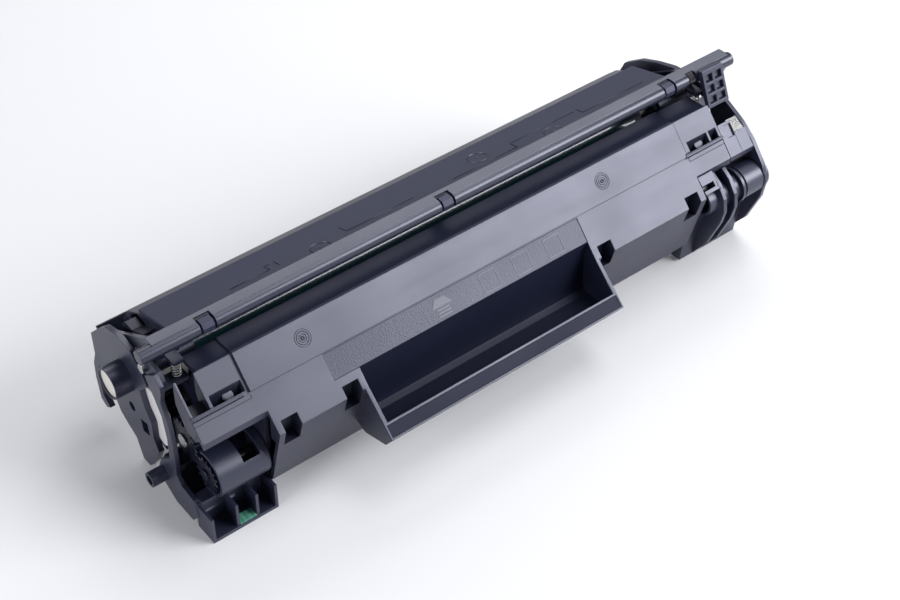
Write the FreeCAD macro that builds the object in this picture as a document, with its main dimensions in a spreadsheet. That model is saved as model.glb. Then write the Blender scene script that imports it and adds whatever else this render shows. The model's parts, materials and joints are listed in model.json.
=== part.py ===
import FreeCAD, Part
import os
import re

import Sketcher

# Toner cartridge, in millimetres. X runs along the rollers, Z is up, and the handle faces -Y.
# The drive end is at -X. The origin is on the underside, where the hopper's foot rests.

SIZES = {
    # Section of the hopper
    "crest_y": (-3.7, "top edge of the upper face"),
    "crest_z": (71.7, "height of the upper face's top edge"),
    "corner_y": (-28.5, "edge between the label face and the front face"),
    "corner_z": (45.1, "height of that edge"),
    "toe_y": (-19.9, "bottom edge of the front face"),
    "toe_z": (13.3, "height of that edge"),
    "slope_wall": (2.9, "upright thickness of the sloping wall"),
    "front_wall": (2.1, "thickness of the front wall along Y"),
    "moulded_wall": (2.2, "usual thickness of the other moulded walls"),
    "seam": (0.2, "gap between two moulded pieces that are joined"),
    "step_run": (11.0, "distance along Y from the top edge down to the step"),
    "step_rise": (0.85, "how far the upper face stands proud, along Y and Z"),
    "label_depth": (0.35, "depth of the grained label panel"),
    "label_left": (-81.3, "left end of the label panel"),
    "label_right": (48.4, "right end of the label panel"),
    "ledge_back": (7.8, "back edge of the ledge behind the upper face"),
    "groove_width": (0.9, "width of the groove across the right end of the upper face"),
    "ledge_z": (71.1, "height of that ledge"),
    "ledge_thick": (2.3, "thickness of that ledge"),
    "foot_front": (-10.0, "front edge of the flat foot"),
    "foot_back": (10.0, "back edge of the flat foot"),
    # Stations along X
    "cover_left": (-139.9, "left edge of the hopper cover"),
    "cover_right": (133.9, "right edge of the hopper cover"),
    "face_left": (-114.5, "left end of the raised upper face"),
    "face_right": (113.0, "right end of the raised upper face"),
    "block_left": (-129.7, "left side of the left end block"),
    "block_right": (131.0, "right side of the right end block"),
    "chamber_left": (-111.6, "outside of the toner chamber's left wall"),
    "chamber_right": (112.4, "outside of the toner chamber's right wall"),
    "seat_left": (-124.5, "outside of the sleeve's left bearing seat"),
    "seat_right": (125.5, "outside of the sleeve's right bearing seat"),
    "seat_thick": (3.0, "thickness of those seats"),
    "bush_radius": (6.0, "outside of the sleeve's bushes"),
    "end_wall": (2.4, "thickness of the chamber's end walls"),
    "rib": (1.3, "thickness of thin ribs"),
    # Handle
    "handle_left": (-71.4, "left end of the handle"),
    "handle_right": (50.1, "right end of the handle"),
    "handle_wall": (1.8, "thickness of the handle's end walls"),
    "scoop_top": (5.9, "distance along Y from the corner back to the scoop's upper edge"),
    "scoop_back": (-21.2, "back wall of the scoop"),
    "scoop_floor": (24.2, "floor of the scoop"),
    "lip_y": (-40.2, "top edge of the handle's lip"),
    "lip_z": (34.4, "height of that edge"),
    "lip_reach": (5.1, "how far the lip's front edge stands beyond its top edge"),
    "lip_drop": (4.6, "how far that front edge is below the top edge"),
    # Windows over the corner
    "window_a": (-104.7, "middle of the first window"),
    "window_b": (-76.2, "middle of the second window"),
    "window_c": (55.3, "middle of the third window"),
    "window_d": (106.0, "middle of the fourth window"),
    "window_width": (7.4, "width of a window"),
    "window_deep": (8.0, "depth of a window behind the corner"),
    "window_low": (8.9, "reach of a window down the front face"),
    "window_high": (3.4, "reach of a window up the label face, along Y"),
    # Rollers and gears
    "drum_y": (35.5, "axis of the photoconductor drum"),
    "drum_z": (45.5, "height of that axis"),
    "drum_radius": (12.0, "outside of the drum"),
    "drum_wall": (0.8, "wall of the drum's tube"),
    "drum_left": (-119.0, "left end of the drum's tube"),
    "drum_right": (120.0, "right end of the drum's tube"),
    "sleeve_radius": (7.0, "outside of the developer sleeve"),
    "sleeve_wall": (0.7, "wall of the developer sleeve"),
    "roller_gap": (0.3, "gap between the drum and the developer sleeve"),
    "sleeve_angle": (210.0, "direction from the drum to the sleeve"),
    "charge_radius": (4.25, "outside of the charge roller"),
    "charge_angle": (75.0, "direction from the drum to the charge roller"),
    "shaft_radius": (2.5, "usual shaft"),
    "shaft_clearance": (0.05, "radial clearance of a shaft in its bearing"),
    "drum_teeth": (28.0, "teeth of the drum gear"),
    "sleeve_teeth": (15.0, "teeth of the sleeve gear"),
    "idler_teeth": (20.0, "teeth of the idler gear"),
    "mixer_teeth": (16.0, "teeth of the agitator gear"),
    "idler_angle": (195.0, "direction from the sleeve to the idler"),
    "mixer_angle": (205.0, "direction from the idler to the agitator"),
    "gear_left": (-135.2, "left face of the gears"),
    "bearing_left": (-137.7, "outside of the developer sleeve's bearing plate"),
    "bearing_thick": (2.0, "thickness of that plate"),
    "gear_width": (6.0, "width of the gears"),
    "mixer_reach": (6.9, "reach of the agitator's blade"),
    # Drum unit
    "bin_left": (-128.9, "left end of the waste bin's top"),
    "bin_right": (128.4, "right end of the waste bin's top"),
    "bin_front": (12.5, "front edge of the top plate"),
    "bin_top": (79.0, "height of the top plate's front edge"),
    "plate_back": (38.6, "back edge of the top plate"),
    "plate_back_z": (71.6, "height of that edge"),
    "plate_wall": (2.0, "thickness of the top plate"),
    "bin_rear": (55.5, "back of the waste bin"),
    "plate_left": (-140.3, "outside of the drum's left end plate"),
    "plate_thick": (2.5, "thickness of the drum's end plates"),
    "collar_radius": (7.0, "outside of the drive collar"),
    "collar_end": (-148.5, "end of the drive collar"),
    "frame_right": (141.5, "outside of the drum unit's right end plate"),
    "lattice_left": (134.2, "left side of the lattice beside the bar"),
    "lattice_right": (146.2, "right side of that lattice"),
    # Shutter
    "pivot_y": (6.6, "axis of the shutter's bar"),
    "pivot_z": (81.1, "height of that axis"),
    "bar_radius": (3.1, "radius of the shutter's bar"),
    "flange_back": (11.9, "back edge of the flange on top of the bar"),
    "flange_thick": (1.7, "thickness of that flange"),
    "neck_radius": (1.8, "radius of the bar's necks in the clips"),
    "neck_half": (3.4, "half length of a neck"),
    "clip_half": (2.6, "half width of a clip"),
    "clip_offset": (118.0, "outer clips' distance from the middle one's side"),
    "clip_middle": (-4.5, "place of the middle clip"),
    "bar_left": (-147.0, "left end of the bar"),
    "bar_right": (156.0, "right end of the bar"),
    "shutter_radius": (62.4, "inside of the curved cover, about the bar"),
    "shutter_wall": (1.8, "thickness of the curved cover"),
    "arm_inset": (0.4, "gap between a shutter arm and the end plate beside it"),
    "arm_thick": (2.0, "thickness of a shutter arm"),
    # End caps
    "cap_left": (-142.5, "outside of the gear side cap"),
    "cap_thick": (2.0, "thickness of the gear side cap"),
    "cap_right": (150.0, "outside of the contact side cap"),
    "cut_left": (-111.2, "right end of the opening for the gear housing"),
    "cut_right": (113.0, "left end of the opening for the right cap's ribs"),
    "rib_first": (121.4, "first of the right cap's curved ribs"),
    "rib_step": (6.6, "distance between two curved ribs"),
    "housing_left": (-134.6, "open end of the round gear housing"),
    "housing_right": (-112.0, "closed end of the round gear housing"),
    "housing_radius": (10.4, "outside of the round gear housing"),
    "boss_y": (9.7, "axis of the guide boss"),
    "boss_z": (13.0, "height of that axis"),
    "boss_radius": (3.3, "outside of the guide boss"),
    "boss_end": (-149.5, "end of the guide boss"),
    "holder_front": (-23.2, "front of the chip holder"),
    "holder_back": (-12.0, "back of the chip holder"),
    "holder_left": (-142.0, "left side of the chip holder"),
    "holder_right": (-111.8, "right side of the chip holder"),
    "holder_top": (13.1, "top of the chip holder"),
    "drumlet_y": (-22.5, "axis of the right end's ringed housing"),
    "drumlet_z": (37.9, "height of that axis"),
    "drumlet_radius": (7.8, "outside of the ringed housing"),
    "drumlet_end": (151.8, "end of the ringed housing"),
    # Hinge between the two halves
    "hinge_y": (15.5, "axis of the two hinge pins"),
    "hinge_z": (66.0, "height of that axis"),
    "hinge_radius": (2.0, "radius of a hinge pin"),
    "ear_radius": (4.2, "round end of a hinge ear"),
    "spring_left": (-132.8, "axis of the left separation spring along X"),
    "spring_right": (135.6, "axis of the right separation spring along X"),
    "spring_y": (5.6, "axis of the separation springs along Y"),
    "spring_low": (64.6, "seat of the separation springs"),
    "spring_length": (7.6, "length of the separation springs"),
    "spring_radius": (2.1, "outside of the separation springs"),
    "screw_radius": (1.4, "thread of a screw"),
    "screw_head": (2.7, "head of a screw"),
    "screw_length": (8.0, "length of a screw under its head"),
}

doc = FreeCAD.newDocument("Cartridge")
sheet = doc.addObject("Spreadsheet::Sheet", "Sizes")
for row, (name, (value, note)) in enumerate(SIZES.items(), 1):
    sheet.set("A%d" % row, name)
    sheet.set("B%d" % row, str(value))
    sheet.setAlias("B%d" % row, name)
    sheet.set("C%d" % row, note)
doc.recompute()

COLLAPSED = 1e-3
PIECES = []


def tied(text):
    """The text as an expression, with each size written as a cell of the sheet."""
    return re.sub(r"[a-z_]+", lambda found: cell(found.group()), text)


def cell(word):
    return "Sizes." + word if word in SIZES else word


def moved(points, along_y, along_z):
    """The same outline moved along Y and Z by two lengths."""
    return [("%s + %s" % (y, along_y), "%s + %s" % (z, along_z)) for y, z in points]


class Piece:
    """A moulded, turned or folded piece, grown by pads and cut by pockets that run along X."""

    def __init__(self, name):
        self.body = doc.addObject("PartDesign::Body", name)
        self.body.Label = name
        self.steps = 0
        PIECES.append(self.body)

    def plane(self, role):
        return next(f for f in self.body.Origin.OriginFeatures if f.Role == role)

    def sketch(self, start, middle=("0", "0"), turn="0"):
        """A sketch across X at the station start, with its own origin at middle, turned about it."""
        self.steps += 1
        name = "%s_outline_%d" % (self.body.Label, self.steps)
        sketch = self.body.newObject("Sketcher::SketchObject", name)
        sketch.AttachmentSupport = [(self.plane("YZ_Plane"), "")]
        sketch.MapMode = "FlatFace"
        sketch.setExpression("AttachmentOffset.Base.x", tied(middle[0]))
        sketch.setExpression("AttachmentOffset.Base.y", tied(middle[1]))
        sketch.setExpression("AttachmentOffset.Base.z", tied(start))
        if turn != "0":
            sketch.setExpression("AttachmentOffset.Rotation.Angle", tied(turn))
        return sketch

    def draw_outline(self, sketch, corners):
        """Draws a closed outline through the corners, each placed by its two sizes."""
        count = len(corners)
        rough = [FreeCAD.Vector(10 + i, (i * 7) % 11, 0) for i in range(count)]
        for i in range(count):
            sketch.addGeometry(Part.LineSegment(rough[i], rough[(i + 1) % count]), False)
        for i in range(count):
            sketch.addConstraint(Sketcher.Constraint("Coincident", i, 2, (i + 1) % count, 1))
        for i, (across, up) in enumerate(corners):
            self.place_point(sketch, i, 1, rough[i], across, up)

    def place_point(self, sketch, shape, end, rough, across, up):
        for kind, value, text in (("DistanceX", rough.x, across), ("DistanceY", rough.y, up)):
            index = sketch.addConstraint(Sketcher.Constraint(kind, -1, 1, shape, end, value))
            sketch.setExpression("Constraints[%d]" % index, tied(text))

    def draw_circle(self, sketch, middle, radius):
        rough = FreeCAD.Vector(5, 5, 0)
        shape = sketch.addGeometry(Part.Circle(rough, FreeCAD.Vector(0, 0, 1), 3), False)
        self.place_point(sketch, shape, 3, rough, *middle)
        index = sketch.addConstraint(Sketcher.Constraint("Radius", shape, 3))
        sketch.setExpression("Constraints[%d]" % index, tied(radius))

    def run(self, sketch, start, end, kind):
        """Pads or pockets a sketch from the station start to the station end."""
        name = "%s_%s_%d" % (self.body.Label, kind.lower(), self.steps)
        feature = self.body.newObject("PartDesign::" + kind, name)
        feature.Profile = sketch
        feature.setExpression("Length", tied("(%s) - (%s)" % (end, start)))
        if kind == "Pocket":
            feature.Reversed = True
        return feature

    def add(self, start, end, corners):
        sketch = self.sketch(start)
        self.draw_outline(sketch, corners)
        self.run(sketch, start, end, "Pad")
        return self

    def cut(self, start, end, corners):
        sketch = self.sketch(start)
        self.draw_outline(sketch, corners)
        self.run(sketch, start, end, "Pocket")
        return self

    def add_round(self, start, end, middle, *radii):
        """Adds a disc, or a ring where two radii are given."""
        sketch = self.sketch(start)
        for radius in radii:
            self.draw_circle(sketch, middle, radius)
        self.run(sketch, start, end, "Pad")
        return self

    def cut_round(self, start, end, middle, radius):
        sketch = self.sketch(start)
        self.draw_circle(sketch, middle, radius)
        self.run(sketch, start, end, "Pocket")
        return self

    def box(self, start, end, low_y, high_y, low_z, high_z, kind="Pad"):
        corners = [(low_y, low_z), (high_y, low_z), (high_y, high_z), (low_y, high_z)]
        sketch = self.sketch(start)
        self.draw_outline(sketch, corners)
        self.run(sketch, start, end, kind)
        return self

    def teeth(self, start, end, middle, teeth, phase):
        """A gear's root disc and its ring of teeth, with a tooth in the direction phase."""
        disc = self.sketch(start, middle)
        self.draw_circle(disc, ("0", "0"), "(%s) * ((%s) / 2 - 1.2)" % (MODULE, teeth))
        self.run(disc, start, end, "Pad")
        tooth = self.sketch(start, middle, "(%s) - 90" % phase)
        root = "(%s) * ((%s) / 2 - 1.4)" % (MODULE, teeth)
        tip = "(%s) * ((%s) / 2 + 0.9)" % (MODULE, teeth)
        root_half = "(%s) * 0.98" % MODULE
        tip_half = "(%s) * 0.27" % MODULE
        corners = [("-(%s)" % root_half, root), (root_half, root), (tip_half, tip), ("-(%s)" % tip_half, tip)]
        self.draw_outline(tooth, corners)
        pad = self.run(tooth, start, end, "Pad")
        doc.recompute()
        pattern = self.body.newObject("PartDesign::PolarPattern", self.body.Label + "_teeth")
        pattern.Originals = [pad]
        pattern.Axis = (disc, ["N_Axis"])
        pattern.Angle = 360
        pattern.setExpression("Occurrences", tied(teeth))
        self.body.Tip = pattern
        return self

    def peg(self, middle, radius, length, lean):
        """A round peg at middle, standing along Z before it leans forward about X by an angle."""
        self.steps += 1
        name = "%s_peg_%d" % (self.body.Label, self.steps)
        peg = self.body.newObject("PartDesign::AdditiveCylinder", name)
        peg.AttachmentSupport = [(self.plane("XY_Plane"), "")]
        peg.MapMode = "FlatFace"
        peg.AttachmentOffset = FreeCAD.Placement(
            FreeCAD.Vector(0, 0, 0), FreeCAD.Rotation(FreeCAD.Vector(1, 0, 0), lean)
        )
        for axis, text in zip("xyz", middle):
            peg.setExpression("AttachmentOffset.Base." + axis, tied(text))
        peg.setExpression("Radius", tied(radius))
        peg.setExpression("Height", tied(length))
        return self


# Places that several pieces share
MODULE = "2 * (drum_radius + sleeve_radius + roller_gap) / (drum_teeth + sleeve_teeth)"
DRUM = ("drum_y", "drum_z")
SLEEVE_REACH = "(drum_radius + sleeve_radius + roller_gap)"
SLEEVE = (
    "(drum_y + %s * cos(sleeve_angle))" % SLEEVE_REACH,
    "(drum_z + %s * sin(sleeve_angle))" % SLEEVE_REACH,
)
IDLER_REACH = "(%s) / 2 * (sleeve_teeth + idler_teeth)" % MODULE
IDLER = (
    "(%s + %s * cos(idler_angle))" % (SLEEVE[0], IDLER_REACH),
    "(%s + %s * sin(idler_angle))" % (SLEEVE[1], IDLER_REACH),
)
MIXER_REACH = "(%s) / 2 * (idler_teeth + mixer_teeth)" % MODULE
MIXER = (
    "(%s + %s * cos(mixer_angle))" % (IDLER[0], MIXER_REACH),
    "(%s + %s * sin(mixer_angle))" % (IDLER[1], MIXER_REACH),
)
CHARGE_REACH = "(drum_radius + charge_radius + roller_gap)"
CHARGE = (
    "(drum_y + %s * cos(charge_angle))" % CHARGE_REACH,
    "(drum_z + %s * sin(charge_angle))" % CHARGE_REACH,
)
PIVOT = ("pivot_y", "pivot_z")
HINGE = ("hinge_y", "hinge_z")
BOSS = ("boss_y", "boss_z")
RINGED = ("drumlet_y", "drumlet_z")
GEAR_RIGHT = "gear_left + gear_width"
SLEEVE_PHASE = "(sleeve_angle + 180 + 180 / sleeve_teeth)"
IDLER_PHASE = (
    "(idler_angle + 180 + ((idler_angle - %s) * sleeve_teeth / 360 - 0.5) * 360 / idler_teeth)" % SLEEVE_PHASE
)
MIXER_PHASE = (
    "(mixer_angle + 180 + ((mixer_angle - %s) * idler_teeth / 360 - 0.5) * 360 / mixer_teeth)" % IDLER_PHASE
)

SCREWED = ("bin_rear - 2.9", "drum_z - 1.4")

# Points of the hopper's section. The upper and label faces are one slope.
SLOPE = "((crest_z - corner_z) / (crest_y - corner_y))"
STEP_Y = "(crest_y - step_run)"
STEP_Z = "(crest_z - step_run * %s)" % SLOPE
CREST = ("crest_y", "crest_z")
CORNER = ("corner_y", "corner_z")
TOE = ("toe_y", "toe_z")
SCOOP_Y = "(corner_y + scoop_top)"
SCOOP_Z = "(corner_z + scoop_top * %s)" % SLOPE
LEAN = "((toe_y - corner_y) / (toe_z - corner_z))"


def hopper_cover():
    """The big front moulding: ledge, upper face, label face, front face, windows and handle."""
    piece = Piece("hopper_cover")
    piece.add("cover_left", "cover_right", [
        CREST,
        CORNER,
        TOE,
        ("toe_y + front_wall", "toe_z"),
        ("corner_y + front_wall", "corner_z - slope_wall * 0.3"),
        ("crest_y", "crest_z - slope_wall"),
    ])
    # The ledge behind the upper face leads the laser beam's way in, and dips a little
    ledge = [
        CREST,
        ("crest_y", "crest_z - slope_wall"),
        ("ledge_back", "ledge_z - ledge_thick"),
        ("ledge_back", "ledge_z - 0.7"),
        ("ledge_back - 1", "ledge_z + 0.1"),
        ("ledge_back - 5", "ledge_z - 0.1"),
    ]
    piece.add("block_left", "block_right + 1.4", ledge)
    piece.add("face_left", "face_right", [
        ("crest_y - step_rise", "crest_z + step_rise"),
        ("crest_y", "crest_z - 0.5"),
        ("ledge_back - 0.3", "ledge_z - 0.5"),
        ("ledge_back - 1", "ledge_z + 0.9"),
        ("ledge_back - 5", "ledge_z + 0.75"),
    ])
    # The upper face stands proud of the label face and ends in a step
    raised = moved([CREST, (STEP_Y, STEP_Z)], "-step_rise", "step_rise")
    piece.add("face_left", "face_right", [CREST, raised[0], raised[1], (STEP_Y, STEP_Z)])
    # Narrow groove across the right end of the upper face and of the ledge
    sunk = moved([CREST, (STEP_Y, STEP_Z)], "0.2", "-0.2")
    above = moved([CREST, (STEP_Y, STEP_Z)], "-step_rise - 2", "step_rise + 2")
    piece.cut("face_right - groove_width", "face_right", [sunk[0], above[0], above[1], sunk[1]])
    piece.cut("face_right - groove_width", "face_right", [
        ("crest_y - 0.6", "ledge_z + 0.2"),
        ("ledge_back + 1", "ledge_z + 0.2"),
        ("ledge_back + 1", "ledge_z + 3"),
        ("crest_y - 0.6", "crest_z + 3"),
    ])
    # Blocks behind each end of the upper face, and behind each window
    for left, right in (("cover_left", "face_left"), ("face_right", "cover_right")):
        piece.add(left, right, [
            CREST,
            (STEP_Y, STEP_Z),
            ("%s - 1.6" % STEP_Y, "%s - 1.7" % STEP_Z),
            ("%s - 1.6" % STEP_Y, "%s - 9.5" % STEP_Z),
            ("%s + 5" % STEP_Y, "%s - 9.5" % STEP_Z),
            ("crest_y", "crest_z - 11"),
        ])
    back = "corner_y + window_deep"
    low = "corner_z - window_low"
    high_y = "corner_y + window_high"
    high_z = "corner_z + window_high * %s" % SLOPE
    for window in ("window_a", "window_b", "window_c", "window_d"):
        left = "%s - window_width / 2" % window
        right = "%s + window_width / 2" % window
        piece.add("%s - rib" % left, "%s + rib" % right, [
            CORNER,
            (high_y, high_z),
            ("%s + rib" % back, high_z),
            ("%s + rib" % back, "%s - rib" % low),
            ("corner_y + (window_low + rib) * -%s" % LEAN, "%s - rib" % low),
        ])
    # The handle is added whole and its scoop is cut out of it
    piece.add("handle_left", "handle_right", [
        ("%s + 1.6" % SCOOP_Y, "%s + 1.6 * %s" % (SCOOP_Z, SLOPE)),
        ("scoop_back + moulded_wall", "corner_z"),
        ("scoop_back + moulded_wall", "scoop_floor + 3.5"),
        ("scoop_back + 0.6", "scoop_floor - 1.9"),
        ("toe_y - 4.6", "scoop_floor - 4.4"),
        ("toe_y - 7.5", "scoop_floor - 5"),
        ("lip_y - 0.4", "scoop_floor - 0.9"),
        ("lip_y - lip_reach", "lip_z - lip_drop"),
        ("lip_y", "lip_z"),
        CORNER,
    ])
    piece.cut("handle_left + handle_wall", "handle_right - handle_wall", [
        (SCOOP_Y, SCOOP_Z),
        ("scoop_back - 0.2", "corner_z + 2"),
        ("scoop_back", "scoop_floor + 4.5"),
        ("scoop_back - 1.2", "scoop_floor + 1.4"),
        ("scoop_back - 3.6", "scoop_floor"),
        ("lip_y + 4.4", "scoop_floor + 0.4"),
        ("lip_y + 0.4", "scoop_floor + 2.4"),
        ("lip_y - 2", "lip_z - 4"),
        ("lip_y + 0.5", "lip_z - 0.3"),
        ("lip_y - 1.5", "lip_z + 4"),
        (SCOOP_Y, "%s + 6" % SCOOP_Z),
    ])
    for window in ("window_a", "window_b", "window_c", "window_d"):
        left = "%s - window_width / 2" % window
        right = "%s + window_width / 2" % window
        piece.cut(left, right, [
            (high_y, high_z),
            (back, "%s - 3" % high_z),
            (back, low),
            ("corner_y - 4", low),
            ("corner_y - 4", "%s + 4" % high_z),
            (high_y, "%s + 4" % high_z),
        ])
    # The grained label panel is a shallow recess down to the scoop
    piece.cut("label_left", "label_right", moved([
        ("%s - 0.4" % STEP_Y, "%s - 0.4 * %s" % (STEP_Z, SLOPE)),
        (SCOOP_Y, SCOOP_Z),
        ("%s - 3" % SCOOP_Y, "%s + 3" % SCOOP_Z),
        ("%s - 3.4" % STEP_Y, "%s + 3 - 0.4 * %s" % (STEP_Z, SLOPE)),
    ], "label_depth * 0.7", "-label_depth * 0.7"))
    # Pockets under the end blocks, each with a round post
    pocket_y = "(%s + 4)" % STEP_Y
    pocket_z = "(%s + 4 * %s)" % (STEP_Z, SLOPE)
    cells = (
        ("cover_left + rib", "block_left - rib"),
        ("block_left", "face_left - rib"),
        ("face_right + 2.4", "block_right - 4"),
        ("block_right - 4 + rib", "cover_right - rib"),
    )
    for left, right in cells:
        piece.cut(left, right, [
            (pocket_y, "%s + 3" % pocket_z),
            (pocket_y, "%s - 9.5" % pocket_z),
            ("%s + 0.9" % STEP_Y, "%s - 6.5" % STEP_Z),
            ("%s + 0.9" % STEP_Y, "%s + 10" % STEP_Z),
        ])
    for place in ("block_left + 7.7", "block_right - 8.6"):
        piece.peg((place, "%s + 6.9" % STEP_Y, "%s - 3.6" % STEP_Z), "2.3", "5.6", 43)
    # Lips that stand up along the step beside the pockets
    for left, right in (("cover_left", "face_left - 2.6"), ("face_right - 1.6", "cover_right")):
        piece.add(left, right, [
            (STEP_Y, "%s - 1" % STEP_Z),
            ("%s + 0.9" % STEP_Y, "%s - 1" % STEP_Z),
            ("%s + 0.1" % STEP_Y, "%s + 1.9" % STEP_Z),
            ("%s - 1.1" % STEP_Y, "%s + 1.1" % STEP_Z),
        ])
    # The label face stops short at both ends, where the end caps take its place
    for left, right in (("cover_left - 1", "cut_left"), ("cut_right", "cover_right + 1")):
        piece.cut(left, right, [
            ("%s - 6.4" % STEP_Y, "%s - 6.4 * %s + 3" % (STEP_Z, SLOPE)),
            ("%s - 6.4" % STEP_Y, "%s - 16" % STEP_Z),
            ("toe_y + 6", "toe_z + 10"),
            ("toe_y + 6", "toe_z - 1"),
            ("corner_y - 3", "toe_z - 1"),
            ("corner_y - 3", "corner_z + 6"),
        ])
    # Left of the end block the upper face is open, and only the end rib stands there
    piece.cut("cover_left + rib", "block_left - rib", [
        ("crest_y + 1", "crest_z + 3"),
        ("crest_y + 1", "crest_z - 12"),
        (pocket_y, "%s - 9.5" % pocket_z),
        ("%s - 0.5" % pocket_y, "%s + 3" % pocket_z),
    ])
    return piece


def toner_hopper():
    """The chamber behind the cover: back wall, floor with the foot, and two end walls."""
    piece = Piece("toner_hopper")
    under_ledge = "ledge_z - ledge_thick - seam"
    top_wall = [
        ("ledge_back - 2.3", under_ledge),
        ("ledge_back - 0.1", under_ledge),
        ("ledge_back + 0.8", "crest_z - 8"),
        ("ledge_back + 2.6", "crest_z - 15"),
        ("crest_y + 16.7", "crest_z - 20.7"),
        ("crest_y + 16.7", "crest_z - 23.6"),
        ("crest_y + 14.4", "crest_z - 23.6"),
        ("ledge_back + 0.4", "crest_z - 15.8"),
        ("ledge_back - 1.4", "crest_z - 8.4"),
    ]
    floor = [
        ("toe_y + 0.3", "toe_z - seam"),
        ("foot_front", "0"),
        ("foot_back", "0"),
        ("foot_back + 3", "toe_z - 2"),
        ("foot_back + 3.6", "toe_z + 8"),
        ("foot_back + 0.6", "toe_z + 8.6"),
        ("foot_back + 0.4", "toe_z - 1"),
        ("foot_back - 1.8", "moulded_wall"),
        ("foot_front + 1", "moulded_wall"),
        ("toe_y + 2.9", "toe_z - seam"),
    ]
    apron = [
        ("foot_back - 1.8", "moulded_wall"),
        ("foot_back - 1.8", "0"),
        ("foot_back", "0"),
        ("foot_back + 3", "toe_z - 2"),
        ("foot_back + 3.6", "toe_z + 8"),
        ("foot_back + 0.6", "toe_z + 8.6"),
        ("foot_back + 0.4", "toe_z - 1"),
    ]
    piece.add("seat_left", "seat_right", top_wall)
    piece.add("chamber_left", "chamber_right", floor)
    for start, end in (("seat_left", "chamber_left"), ("chamber_right", "seat_right")):
        piece.add(start, end, apron)
    end_shape = [
        ("crest_y + seam", "%s - 0.4" % under_ledge),
        ("ledge_back - 1", under_ledge),
        ("ledge_back", "crest_z - 8"),
        ("crest_y + 14", "crest_z - 20"),
        ("foot_back", "toe_z + 28"),
        ("foot_back", "toe_z + 8"),
        ("foot_back + 0.4", "toe_z - 1"),
        ("foot_back", "1"),
        ("foot_front", "1"),
        ("toe_y + 2.9", "toe_z - seam"),
        ("corner_y + 10.6", "corner_z - 14"),
        ("corner_y + 10.6", "corner_z + 4"),
        ("crest_y - 6", "crest_z - 13"),
    ]
    piece.add("chamber_left", "chamber_left + end_wall", end_shape)
    piece.add("chamber_right - end_wall", "chamber_right", end_shape)
    # Seats of the developer sleeve's bushes, outside the chamber
    for start in ("seat_left", "seat_right - seat_thick"):
        piece.add(start, "%s + seat_thick" % start, [
            ("crest_y + 14", "crest_z - 19"),
            ("crest_y + 16.7", "crest_z - 21.4"),
            ("crest_y + 16.7", "crest_z - 25"),
            ("%s + 4.5" % SLEEVE[0], "%s + 9" % SLEEVE[1]),
            ("%s + 7.4" % SLEEVE[0], "%s - 6" % SLEEVE[1]),
            ("%s + 2" % SLEEVE[0], "%s - 9.4" % SLEEVE[1]),
            ("foot_back + 3.4", "toe_z + 6"),
            ("foot_back + 1", "toe_z + 4"),
            ("foot_back - 12", "toe_z + 14"),
            ("foot_back - 12", "toe_z + 24"),
            ("crest_y + 8", "crest_z - 15"),
        ])
        piece.cut_round("%s - 1" % start, "%s + seat_thick + 1" % start, SLEEVE, "bush_radius")
    piece.cut_round("seat_left - 1", "seat_left + 2", IDLER, "2")
    for start in ("chamber_left - 1", "chamber_right - end_wall - 1"):
        piece.cut_round(start, "%s + end_wall + 2" % start, MIXER, "shaft_radius + shaft_clearance")
    piece.cut_round("chamber_right - end_wall - 1", "chamber_right + 1", ("2", "crest_z - 27"), "6")
    return piece


def fill_plug():
    piece = Piece("fill_plug")
    piece.add_round("chamber_right - end_wall", "chamber_right", ("2", "crest_z - 27"), "5.9")
    piece.add_round("chamber_right + 0.1", "chamber_right + 1.6", ("2", "crest_z - 27"), "7.4")
    piece.add_round("chamber_right - 0.1", "chamber_right + 0.2", ("2", "crest_z - 27"), "5.9")
    return piece


def agitator():
    """A shaft with a gear seat, and a film blade that stirs the powder."""
    shaft = Piece("agitator_shaft")
    shaft.add_round("gear_left - 1", "chamber_right + 1.5", MIXER, "shaft_radius")
    inner_left = "chamber_left + end_wall + 1"
    inner_right = "chamber_right - end_wall - 1"
    shaft.box(inner_left, inner_right, "%s + 1" % MIXER[0], "%s + 4" % MIXER[0],
              "%s - 1.2" % MIXER[1], "%s - 0.2" % MIXER[1])
    film = Piece("agitator_film")
    film.box(inner_left, inner_right, "%s + 2.7" % MIXER[0], "%s + mixer_reach" % MIXER[0],
             "%s - 0.1" % MIXER[1], "%s + 0.3" % MIXER[1])
    return shaft, film


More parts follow.
